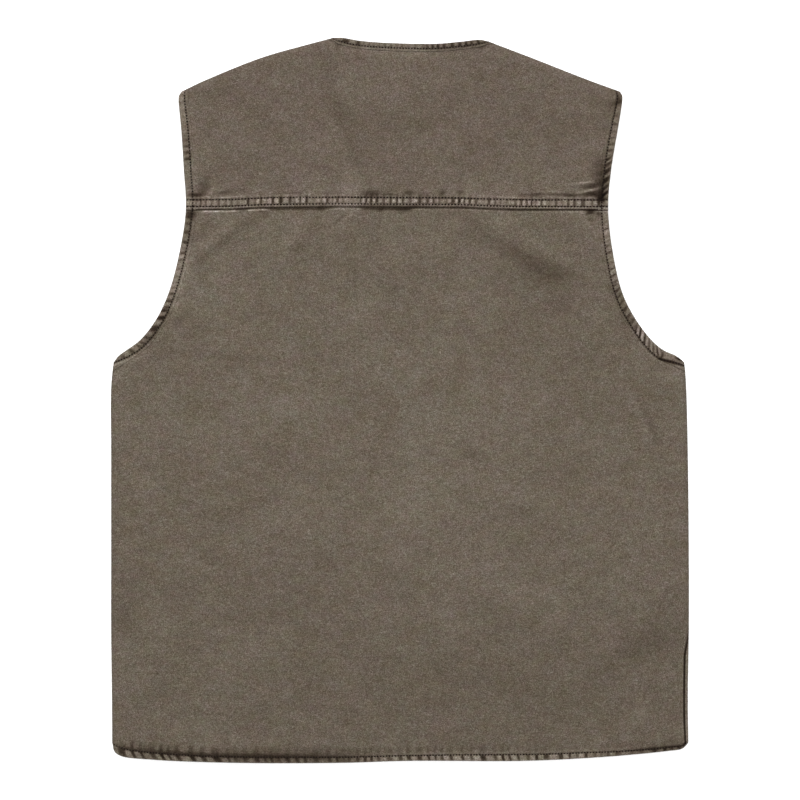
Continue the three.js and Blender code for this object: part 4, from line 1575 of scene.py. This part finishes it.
@dataclass
class FrontCloth:
    """One front, which lies underneath from its side seam to the zip and the neck's V."""

    shape: VestShape
    side: Side
    step: float = 6.0
    columns: int = 48
    turn_fade: float = 0.3
    # Painted shadow on the front's edge, in the ditch of the rolled side seam.
    seam_shade: float = 1.2

    def build(self) -> Shell:
        """Lays the front out between its seams and hems.

        Returns:
            Its wall of cloth.
        """
        shape, side = self.shape, self.side
        fold, shoulder = shape.side[side], shape.shoulder[side]
        arm, hem = shape.arm[side, Layer.FRONT], shape.hem[Layer.FRONT]
        neck = shape.front_neck[side]
        beside = 1 - np.linspace(0, 1, round(fold.length / self.step) + 1)
        level = shape.round_fold(fold, arm, hem, beside, np.full(len(beside), FOLD_REACH))
        start = arm.crossing(fold, FOLD_REACH)[1]
        tip_fold, tip_arm = arm.crossing(shoulder, SHOULDER_SEAM)
        climb = np.linspace(start, tip_arm, round((tip_arm - start) / self.step) + 1)
        outer = np.vstack([level, arm.panel_point(climb)[1:]])
        neck_fold, neck_edge = neck.crossing(shoulder, SHOULDER_SEAM)
        low = int((outer[:, 1] < V_BOTTOM_Y - V_CLEAR).sum())
        straight = np.full(low, side.value * FRONT_EDGE_X)
        slope = np.linspace(neck.length, neck_edge, len(outer) - low + 1)[1:]
        inner = np.vstack([np.stack([straight, outer[:low, 1]], axis=1), neck.panel_point(slope)])
        u = np.linspace(0, 1, self.columns + 1)
        hem_from = hem.crossing(fold, FOLD_REACH)[1]
        hem_to = hem.length_at_x(side.value * FRONT_EDGE_X)
        bottom = hem.panel_point(lerp(hem_from, hem_to, u))
        top = shoulder.offset(lerp(tip_fold, neck_fold, u), SHOULDER_SEAM)
        inner[0] = [straight[0], bottom[-1, 1]]
        grid = coons(outer, inner, bottom, top, u)
        wraps, turns = shape.round_side(side, Layer.FRONT, beside, (len(grid), 2 * TURN_STEPS))
        places = np.concatenate([wraps[:, ::-1], grid], axis=1)
        turn = np.concatenate([turns[:, ::-1], -np.ones(grid.shape[:2])], axis=1)
        there = ~np.isnan(places[..., 0])
        middle = np.full((*places.shape[:2], 3), np.nan)
        middle[there] = shape.middle(places[there], turn[there], CLOTH)
        tone = self.turn_fade * smooth(turn + 1)
        # The outermost column, at the side seam, is darkened as a painted shadow where the seam has rolled
        # on to the back.
        tone[:, 0] -= self.seam_shade * smooth(turn[:, 0])
        return Shell(f"front_{side.name.lower()}_cloth", middle, CLOTH, side.value, tone=tone)


class Run(NamedTuple):
    """A stretch of a hem: its edge, its layer, and the lengths along the edge from start to stop."""

    edge: HemEdge
    layer: Layer
    start: float
    stop: float


@dataclass
class EdgeHem:
    """A turned hem that goes along one or more edges."""

    shape: VestShape
    relief: Relief
    name: str
    runs: list[Run]
    outward: int
    closed: bool = False
    fine_step: float = 0.9
    step: float = 3.5
    rows: int = 17
    crowding: float = 1.3

    def stations(self, run: Run) -> Array:
        """Lengths along a run, close together on the back and wider on the hidden front."""
        step = self.fine_step if run.layer is Layer.BACK else self.step
        return np.linspace(run.start, run.stop, max(round(abs(run.stop - run.start) / step), 2) + 1)

    def build(self) -> Shell:
        """Lays the hem out, thick in its middle and rounded at its edge.

        Returns:
            Its wall of cloth.
        """
        part = np.linspace(0, 1, self.rows) ** self.crowding
        places, turns, lifts, swells, tones, widths = [], [], [], [], [], []
        for k, run in enumerate(self.runs):
            s = self.stations(run)
            s = s[:-1] if self.closed or k < len(self.runs) - 1 else s
            width = run.edge.width(s)
            spots = np.stack([run.edge.hem_point(s, p * width) for p in part])
            turn = run.layer.value * self.shape.turn_from(spots)
            swell, tone = self.relief.hem(run.edge, np.tile(s, (len(part), 1)), part[:, None] * width)
            if run.layer is Layer.BACK:
                for more_swell, more_tone in (self.relief.seam(spots), self.relief.smudges_and_shading(spots)):
                    swell, tone = swell + more_swell, tone + more_tone
                lifts.append(self.relief.yoke_lift(spots, LAP_SOFT))
            else:
                swell = np.minimum(swell, 0.0)
                lifts.append(np.zeros(turn.shape))
            for kept, new in zip((places, turns, swells, tones), (spots, turn, swell, tone)):
                kept.append(new)
            widths.append(np.broadcast_to(width, turn.shape))
        spots, turn, lift = (np.concatenate(some, axis=1) for some in (places, turns, lifts))
        swell, tone, width = (np.concatenate(some, axis=1) for some in (swells, tones, widths))
        rounded = np.sqrt(1 - (1 - np.minimum(part[:, None] * width / EDGE_ROUND, 1)) ** 2)
        level = np.abs(turn)
        thick = lerp(CLOTH, HEM_CLOTH, level) * lerp(EDGE_THIN, 1.0, rounded)
        middle = self.shape.middle(spots, turn, HEM_CLOTH, lift)
        swell = swell * rounded * level
        return Shell(self.name, middle, thick, self.outward, swell, tone, closed=self.closed)

    def thread(self) -> list[Array]:
        """The line of its stitches on the outer face.

        Returns:
            The places along the line, for each run.
        """
        lines = []
        for run in self.runs:
            s = self.stations(run)
            spots = run.edge.hem_point(s, run.edge.stitches(s) - THREAD_ASIDE)
            turn = run.layer.value * self.shape.turn_from(spots)
            on_back = run.layer is Layer.BACK
            lift = self.relief.yoke_lift(spots, LAP_SOFT) if on_back else 0.0
            sink = THREAD_SINK if on_back else FRONT_THREAD_SINK
            lines.append(self.shape.middle(spots, turn, 2 * sink, lift))
        return lines


class RowPart(Enum):
    """What a row repeats, by the node that makes it: a rounded thread or a square tooth."""

    THREAD = "GeometryNodeMeshUVSphere"
    TOOTH = "GeometryNodeMeshCube"


@dataclass
class Row:
    """Rows of thread or teeth, laid along lines by a node tree."""

    name: str
    lines: list[Array]
    pitch: float
    length: float = 1.7
    width: float = 1.6
    height: float = 1.0
    uneven: float = 0.15
    seed: int = 4
    segments: int = 8
    rings: int = 6
    part: RowPart = RowPart.THREAD

    def tree(self) -> bpy.types.NodeTree:
        """Builds the node tree that lays one part at each step along a line.

        Returns:
            The tree, with its inputs named.
        """
        tree = bpy.data.node_groups.new(self.name, "GeometryNodeTree")
        socket = tree.interface.new_socket
        socket("Line", in_out="INPUT", socket_type="NodeSocketGeometry")
        for name in ("Pitch", "Length", "Width", "Height", "Smallest", "Largest"):
            socket(name, in_out="INPUT", socket_type="NodeSocketFloat")
        socket("Seed", in_out="INPUT", socket_type="NodeSocketInt")
        socket("Finish", in_out="INPUT", socket_type="NodeSocketMaterial")
        socket("Row", in_out="OUTPUT", socket_type="NodeSocketGeometry")
        new = tree.nodes.new
        link = tree.links.new
        given = new("NodeGroupInput").outputs
        curve = new("GeometryNodeMeshToCurve")
        link(given["Line"], curve.inputs["Mesh"])
        steps = new("GeometryNodeResampleCurve")
        steps.mode = "LENGTH"
        link(curve.outputs["Curve"], steps.inputs["Curve"])
        link(given["Pitch"], steps.inputs["Length"])
        one = new(self.part.value)
        if self.part is RowPart.THREAD:
            one.inputs["Segments"].default_value = self.segments
            one.inputs["Rings"].default_value = self.rings
            one.inputs["Radius"].default_value = 1 / 2
        size = new("ShaderNodeCombineXYZ")
        for axis, name in zip("XYZ", ("Length", "Width", "Height")):
            link(given[name], size.inputs[axis])
        shaped = new("GeometryNodeTransform")
        link(one.outputs["Mesh"], shaped.inputs["Geometry"])
        link(size.outputs["Vector"], shaped.inputs["Scale"])
        tangent = new("GeometryNodeInputTangent")
        aim = new("FunctionNodeAlignRotationToVector")
        aim.axis = "X"
        link(tangent.outputs["Tangent"], aim.inputs["Vector"])
        vary = new("FunctionNodeRandomValue")
        vary.data_type = "FLOAT_VECTOR"
        link(given["Smallest"], vary.inputs[0])
        link(given["Largest"], vary.inputs[1])
        link(given["Seed"], vary.inputs["Seed"])
        laid = new("GeometryNodeInstanceOnPoints")
        link(steps.outputs["Curve"], laid.inputs["Points"])
        link(shaped.outputs["Geometry"], laid.inputs["Instance"])
        link(aim.outputs["Rotation"], laid.inputs["Rotation"])
        link(vary.outputs["Value"], laid.inputs["Scale"])
        real = new("GeometryNodeRealizeInstances")
        link(laid.outputs["Instances"], real.inputs["Geometry"])
        painted = new("GeometryNodeSetMaterial")
        link(real.outputs["Geometry"], painted.inputs["Geometry"])
        link(given["Finish"], painted.inputs["Material"])
        link(painted.outputs["Geometry"], new("NodeGroupOutput").inputs["Row"])
        return tree

    def build(self, finish: bpy.types.Material) -> bpy.types.Object:
        """Lays the row.

        Args:
            finish: Its material.

        Returns:
            The new object, a mesh without modifiers.
        """
        mesh = bpy.data.meshes.new(self.name)
        places, edges = [], []
        for line in self.lines:
            first = len(places)
            places.extend((line * MM).tolist())
            edges.extend((k, k + 1) for k in range(first, len(places) - 1))
        mesh.from_pydata(places, edges, [])
        piece = bpy.data.objects.new(self.name, mesh)
        bpy.context.scene.collection.objects.link(piece)
        values = {
            "Pitch": self.pitch * MM,
            "Length": self.length * MM,
            "Width": self.width * MM,
            "Height": self.height * MM,
            "Smallest": 1 - self.uneven,
            "Largest": 1 + self.uneven,
            "Seed": self.seed,
            "Finish": finish,
        }
        laid = run_tree(piece, self.tree(), values)
        rounded = self.part is RowPart.THREAD
        laid.data.polygons.foreach_set("use_smooth", [rounded] * len(laid.data.polygons))
        return laid


def run_tree(
    piece: bpy.types.Object, tree: bpy.types.NodeTree, values: dict[str, object]
) -> bpy.types.Object:
    """Runs a node tree on a piece and keeps its result as the piece's own mesh.

    Args:
        piece: The object that the tree starts from.
        tree: The node tree.
        values: The tree's inputs by name.

    Returns:
        The same object, without modifiers.
    """
    modifier = piece.modifiers.new("laid", "NODES")
    modifier.node_group = tree
    for item in tree.interface.items_tree:
        if item.in_out == "INPUT" and item.name in values:
            modifier[item.identifier] = values[item.name]
    ready = piece.evaluated_get(bpy.context.evaluated_depsgraph_get())
    mesh = bpy.data.meshes.new_from_object(ready)
    piece.modifiers.clear()
    piece.data = mesh
    return piece


class Noise(NamedTuple):
    """A layer of noise: its changes in a metre across and along the cloth, its detail and its share."""

    across: float
    along: float
    detail: float
    share: float


class Nodes:
    """A short way to build a material's nodes."""

    def __init__(self, name: str) -> None:
        """Starts a material with only its shader and output."""
        self.material = bpy.data.materials.new(name)
        self.material.use_nodes = True
        self.tree = self.material.node_tree
        self.shader = self.tree.nodes["Principled BSDF"]

    def link(self, source: bpy.types.NodeSocket, target: bpy.types.NodeSocket) -> None:
        """Joins two sockets."""
        self.tree.links.new(source, target)

    def attribute(self, name: str) -> bpy.types.NodeSocket:
        """A value that the mesh carries at each corner.

        Args:
            name: The attribute's name.

        Returns:
            The value's socket.
        """
        node = self.tree.nodes.new("ShaderNodeAttribute")
        node.attribute_name = name
        return node.outputs["Fac"]

    def noise(self, layer: Noise) -> bpy.types.NodeSocket:
        """Noise in the object's own space, from -1 to 1.

        Args:
            layer: Its scale and detail.

        Returns:
            The noise's socket.
        """
        nodes = self.tree.nodes
        coords = nodes.new("ShaderNodeTexCoord")
        stretch = nodes.new("ShaderNodeVectorMath")
        stretch.operation = "MULTIPLY"
        stretch.inputs[1].default_value = (layer.across, layer.along, NOISE_DEPTH)
        self.link(coords.outputs["Object"], stretch.inputs[0])
        noise = nodes.new("ShaderNodeTexNoise")
        noise.inputs["Scale"].default_value = 1.0
        noise.inputs["Detail"].default_value = layer.detail
        self.link(stretch.outputs[0], noise.inputs["Vector"])
        return self.math("MULTIPLY_ADD", noise.outputs[0], 2.0, -1.0)

    def vary(self, value: object, *layers: Noise) -> bpy.types.NodeSocket:
        """Adds layers of noise to a value, each with its share.

        Args:
            value: A number or a socket.
            layers: The noise.

        Returns:
            The sum's socket.
        """
        for layer in layers:
            value = self.math("MULTIPLY_ADD", self.noise(layer), layer.share, value)
        return value

    def math(self, operation: str, *values: object) -> bpy.types.NodeSocket:
        """A sum or other operation on numbers and sockets.

        Args:
            operation: The node's name for it.
            values: What it works on.

        Returns:
            The result's socket.
        """
        node = self.tree.nodes.new("ShaderNodeMath")
        node.operation = operation
        for place, value in zip(node.inputs, values):
            if isinstance(value, (int, float)):
                place.default_value = value
            else:
                self.link(value, place)
        return node.outputs[0]

    def clamp(self, value: bpy.types.NodeSocket) -> bpy.types.NodeSocket:
        """A value kept between 0 and 1.

        Args:
            value: The value's socket.

        Returns:
            The result's socket.
        """
        node = self.tree.nodes.new("ShaderNodeClamp")
        self.link(value, node.inputs[0])
        return node.outputs[0]

    def mix(self, kind: str, part: object, a: object, b: object) -> bpy.types.NodeSocket:
        """A mix of two colours.

        Args:
            kind: How they are mixed.
            part: How much of the second, a number or a socket.
            a: The first colour or its socket.
            b: The second.

        Returns:
            The mixed colour's socket.
        """
        node = self.tree.nodes.new("ShaderNodeMix")
        node.data_type = "RGBA"
        node.blend_type = kind
        # A mix of colours takes them at sockets 6 and 7 and gives its result at socket 2.
        for place, value in ((node.inputs[0], part), (node.inputs[6], a), (node.inputs[7], b)):
            if isinstance(value, bpy.types.NodeSocket):
                self.link(value, place)
            else:
                place.default_value = value if isinstance(value, float) else (*value, 1.0)
        return node.outputs[2]


def linear(red: float, green: float, blue: float) -> tuple[float, float, float]:
    """A screen colour from 0 to 255 as linear light."""
    parts = (channel / SCREEN_WHITE for channel in (red, green, blue))
    return tuple(((part + SCREEN_FOOT) / (1 + SCREEN_FOOT)) ** SCREEN_POWER for part in parts)


@dataclass(frozen=True)
class Canvas:
    """Washed cotton canvas: a heathered brown grey, paler where it is worn and dark in its folds.

    The light of each channel follows the grain by its evenness. Worn cloth and painted highlights are
    lightened by one tint, and dirty cloth and painted shade are darkened by another, as many times as
    their tone says.
    """

    name: str
    warm: tuple[float, float, float] = linear(75.0, 63.8, 56.9)
    cool: tuple[float, float, float] = linear(71.7, 67.9, 56.4)
    # Tints for tone above 0, which is wear and painted highlights, and for tone below 0, which is dirt and
    # painted shade.
    faded_and_lit: tuple[float, float, float] = (2.5, 2.65, 2.95)
    dirt_and_shade: tuple[float, float, float] = (0.19, 0.16, 0.14)
    evenness: tuple[float, float, float] = (0.91, 1.0, 1.14)
    coolness: float = 0.5
    flecks: Noise = Noise(170, 220, 1.0, 0.45)
    hue: Noise = Noise(45, 60, 3.0, 0.4)
    blueness: Noise = Noise(80, 105, 3.0, 0.14)
    grain: Noise = Noise(1500, 1700, 1.0, 1.5)
    weft: Noise = Noise(330, 1300, 1.0, 0.42)
    warp: Noise = Noise(1300, 420, 1.0, 0.3)
    mottle: Noise = Noise(80, 130, 3.0, 0.2)
    drift: Noise = Noise(24, 32, 3.0, 0.2)
    streaks: Noise = Noise(30, 70, 2.0, 0.1)
    roughness: float = 0.92
    gloss: float = 0.05
    bump: float = 0.25
    bump_depth: float = 0.0006

    def build(self) -> bpy.types.Material:
        """Makes the material.

        Returns:
            The material, which reads each mesh's tone.
        """
        made = Nodes(self.name)
        hue = made.clamp(made.vary(self.coolness, self.flecks, self.hue))
        colour = made.mix("MIX", hue, self.warm, self.cool)
        light = made.vary(0.0, self.grain, self.weft, self.warp, self.mottle, self.drift, self.streaks)
        tone = made.attribute("tone")
        # Tone above 0 is wear and painted highlights; tone below 0 is dirt and painted shade.
        worn_and_lit = made.math("MAXIMUM", tone, 0.0)
        dark = made.math("MAXIMUM", made.math("MULTIPLY", tone, -1.0), 0.0)
        shade = made.tree.nodes.new("ShaderNodeCombineColor")
        casts = (1.0, 1.0, made.vary(1.0, self.blueness))
        channels = zip(shade.inputs, self.faded_and_lit, self.dirt_and_shade, casts, self.evenness)
        for place, pale, tint, cast, share in channels:
            change = made.math("MULTIPLY", made.math("POWER", pale, worn_and_lit), made.math("POWER", tint, dark))
            lit = made.math("EXPONENT", made.math("MULTIPLY", light, share))
            made.link(made.math("MULTIPLY", made.math("MULTIPLY", lit, cast), change), place)
        colour = made.mix("MULTIPLY", 1.0, colour, shade.outputs[0])
        made.link(colour, made.shader.inputs["Base Color"])
        made.shader.inputs["Roughness"].default_value = self.roughness
        made.shader.inputs["Specular IOR Level"].default_value = self.gloss
        bump = made.tree.nodes.new("ShaderNodeBump")
        bump.inputs["Strength"].default_value = self.bump
        bump.inputs["Distance"].default_value = self.bump_depth
        made.link(made.noise(self.grain), bump.inputs["Height"])
        made.link(bump.outputs[0], made.shader.inputs["Normal"])
        return made.material


@dataclass(frozen=True)
class Plain:
    """A plain finish of one colour."""

    name: str
    colour: tuple[float, float, float]
    roughness: float
    gloss: float = 0.1

    def build(self) -> bpy.types.Material:
        """Makes the material.

        Returns:
            The material.
        """
        made = Nodes(self.name)
        made.shader.inputs["Base Color"].default_value = (*self.colour, 1.0)
        made.shader.inputs["Roughness"].default_value = self.roughness
        made.shader.inputs["Specular IOR Level"].default_value = self.gloss
        return made.material


@dataclass(frozen=True)
class Lamp:
    """A square lamp that points at the vest: its place and side in metres, and its power in watts."""

    name: str
    place: tuple[float, float, float]
    size: float
    power: float

    def build(self) -> None:
        """Hangs the lamp."""
        data = bpy.data.lights.new(self.name, "AREA")
        data.size = self.size
        data.energy = self.power
        lamp = bpy.data.objects.new(self.name, data)
        lamp.location = self.place
        lamp.rotation_euler = (-lamp.location).to_track_quat("-Z", "Y").to_euler()
        bpy.context.scene.collection.objects.link(lamp)


@dataclass(frozen=True)
class Studio:
    """The floor, the lamps, the pale surroundings and the camera straight above the vest, in metres."""

    camera_height: float = 3.5
    sensor: float = 36.0
    view_width: float = 0.8
    look_height: float = 0.008
    far: float = 50.0
    floor_size: float = 30.0
    floor_drop: float = 0.0002
    floor_finish: Plain = Plain("pale", (0.95, 0.95, 0.95), 0.9)
    surroundings: float = 1.1
    lamps: tuple[Lamp, ...] = (
        Lamp("key", (-0.35, 2.2, 2.4), 2.2, 123.0),
        Lamp("fill", (0.4, -1.4, 3.2), 2.6, 52.0),
    )

    def build(self) -> None:
        """Sets the stage."""
        scene = bpy.context.scene
        scene.view_settings.view_transform = "Standard"
        corner = self.floor_size / 2
        corners = np.array([(-1, -1), (1, -1), (1, 1), (-1, 1)]) * corner / MM
        places = np.column_stack([corners, np.full(4, -self.floor_drop / MM)])
        floor = make_object("floor", places, [[0, 1, 2, 3]], self.floor_finish.build())
        for lamp in self.lamps:
            lamp.build()
        world = bpy.data.worlds.new("studio")
        world.use_nodes = True
        world.node_tree.nodes["Background"].inputs["Color"].default_value = (1.0, 1.0, 1.0, 1.0)
        world.node_tree.nodes["Background"].inputs["Strength"].default_value = self.surroundings
        scene.world = world
        data = bpy.data.cameras.new("camera")
        data.sensor_width = self.sensor
        data.lens = self.sensor * (self.camera_height - self.look_height) / self.view_width
        data.clip_end = self.far
        camera = bpy.data.objects.new("camera", data)
        camera.location = (0.0, 0.0, self.camera_height)
        scene.collection.objects.link(camera)
        scene.camera = camera


@dataclass(frozen=True)
class FrontZip:
    """The zip between the fronts: a woven tape and rows of moulded teeth."""

    bottom_y: float = -356.0
    top_y: float = 168.0
    tape_width: float = 7.8
    tape_low: float = 0.6
    tape_high: float = 1.8
    tooth_width: float = 4.2
    tooth_length: float = 1.5
    tooth_low: float = 0.05
    tooth_high: float = 2.4
    tooth_pitch: float = 2.6
    end_gap: float = 4.0

    def tape(self, finish: bpy.types.Material) -> bpy.types.Object:
        """The tape's strip.

        Args:
            finish: Its material.

        Returns:
            The new object.
        """
        half = self.tape_width / 2
        lows = [-half, self.bottom_y, self.tape_low]
        highs = [half, self.top_y, self.tape_high]
        return make_object("zip_tape", *box_mesh(lows, highs), finish)

    def teeth(self, finish: bpy.types.Material) -> bpy.types.Object:
        """The teeth, one above the other along the tape.

        Args:
            finish: Their material.

        Returns:
            The new object.
        """
        height = self.tooth_high - self.tooth_low
        middle = (self.tooth_low + self.tooth_high) / 2
        ends = (self.bottom_y + self.end_gap, self.top_y - self.end_gap)
        line = np.array([(0.0, y, middle) for y in ends])
        sizes = {"length": self.tooth_length, "width": self.tooth_width, "height": height}
        row = Row("zip_teeth", [line], self.tooth_pitch, **sizes, uneven=0.0, part=RowPart.TOOTH)
        return row.build(finish)


def box_mesh(low: list[float], high: list[float]) -> tuple[Array, list[list[int]]]:
    """The corners and faces of a box.

    Args:
        low: Its lowest corner.
        high: Its highest corner.

    Returns:
        The places of its corners, and its faces as rings of corner numbers.
    """
    corners = [(x, y, z) for z in (low[2], high[2]) for y in (low[1], high[1]) for x in (low[0], high[0])]
    rings = [[0, 2, 3, 1], [4, 5, 7, 6], [0, 1, 5, 4], [2, 6, 7, 3], [0, 4, 6, 2], [1, 3, 7, 5]]
    return np.array(corners, float), rings


def keep_piece(piece: bpy.types.Object, slot: str, *nodes: str) -> bpy.types.Object:
    """Ties a piece to the frame and logs it.

    Args:
        piece: The finished piece.
        slot: The record's material slot for the piece; it is not used.
        nodes: The CAD nodes that it stands for.

    Returns:
        The same piece.
    """
    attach(piece, "root")
    if nodes:
        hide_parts(*nodes)
    LOG.info("%s: %d polygons", piece.name, len(piece.data.polygons))
    return piece


class Vest:
    """The whole vest."""

    def __init__(self) -> None:
        """Draws the vest's lines and mixes its finishes."""
        self.shape = VestShape()
        self.relief = Relief(self.shape)
        self.canvas = Canvas("canvas").build()
        self.yoke_canvas = Canvas("canvas_yoke", warm=linear(75.4, 64.3, 57.9), coolness=0.39).build()
        self.hem_canvas = Canvas("canvas_hem").build()
        # Near-black thread: the stitches are dark thread, and their darkness also paints the shade of the
        # needle holes.
        self.thread = Plain("thread", linear(13, 6, 3), 0.95).build()
        self.zip = Plain("zip", (0.27, 0.24, 0.21), 0.5).build()

    def hems(self) -> list[EdgeHem]:
        """The four hems.

        Returns:
            The hems of both armholes, of the neck and of the bottom edge.
        """
        shape, made = self.shape, []
        for side in Side:
            back, front = (shape.arm[side, layer] for layer in Layer)
            runs = [Run(back, Layer.BACK, 0, back.length), Run(front, Layer.FRONT, front.length, 0)]
            name = f"armhole_{side.name.lower()}_edge"
            made.append(EdgeHem(shape, self.relief, name, runs, side.value, closed=True))
        left, right = (shape.front_neck[side] for side in Side)
        runs = [Run(left, Layer.FRONT, left.length, 0), Run(shape.neck, Layer.BACK, 0, shape.neck.length)]
        runs.append(Run(right, Layer.FRONT, 0, right.length))
        made.append(EdgeHem(shape, self.relief, "neck_edge", runs, -1))
        back, front = (shape.hem[layer] for layer in Layer)
        cuts = [front.length_at_x(side.value * FRONT_EDGE_X) for side in Side]
        runs = [Run(front, Layer.FRONT, cuts[0], 0), Run(back, Layer.BACK, 0, back.length)]
        runs.append(Run(front, Layer.FRONT, front.length, cuts[1]))
        made.append(EdgeHem(shape, self.relief, "bottom_edge", runs, 1))
        return made

    def seam_lines(self) -> list[Array]:
        """The two stitch rows of the yoke seam.

        Returns:
            The places along each row.
        """
        lines = []
        for row in STITCH_ROWS:
            heights = from_table(YOKE_EDGE, np.array(SEAM_END_X)) + row
            ends = []
            for side, y in zip(Side, heights):
                arm = self.shape.arm[side, Layer.BACK]
                edge_x = float(np.interp(y, arm.spots[:, 1], arm.spots[:, 0]))
                ends.append(edge_x - side.value * THREAD_INSET)
            x = np.linspace(*ends, SEAM_STEPS)
            spots = np.stack([x, from_table(YOKE_EDGE, x) + row], axis=1)
            lift = self.relief.yoke_lift(spots) - SEAM_THREAD_SINK
            lines.append(self.shape.middle(spots, 1.0, 0.0, lift))
        return lines

    def build(self) -> None:
        back = BackCloth(self.shape, self.relief)
        panel = keep_piece(back.panel().build(self.canvas), "canvas", "back_panel")
        yoke = keep_piece(back.yoke().build(self.yoke_canvas), "canvas", "back_yoke")
        for side in Side:
            shell = FrontCloth(self.shape, side).build()
            keep_piece(shell.build(self.canvas), "canvas", f"front_{side.name.lower()}")
        nodes = ("armhole_hem_left", "armhole_hem_right", "neck_hem", "bottom_hem")
        for hem, node in zip(self.hems(), nodes):
            keep_piece(hem.build().build(self.hem_canvas), "canvas_hem", node)
            rows = Row(f"{hem.name}_thread", hem.thread(), HEM_PITCH)
            keep_piece(rows.build(self.thread), "canvas_hem")
        rows = Row("yoke_thread", self.seam_lines(), SEAM_PITCH, length=2.0, width=1.9)
        keep_piece(rows.build(self.thread), "canvas_hem")
        closing = FrontZip()
        keep_piece(closing.tape(self.zip), "zip", "front_zip")
        keep_piece(closing.teeth(self.zip), "zip")


def main() -> None:
    """Builds the vest and its stage, with the camera for its picture."""
    logging.basicConfig(level=logging.INFO, format="%(message)s")
    Vest().build()
    Studio().build()


if __name__ == "__main__":
    main()
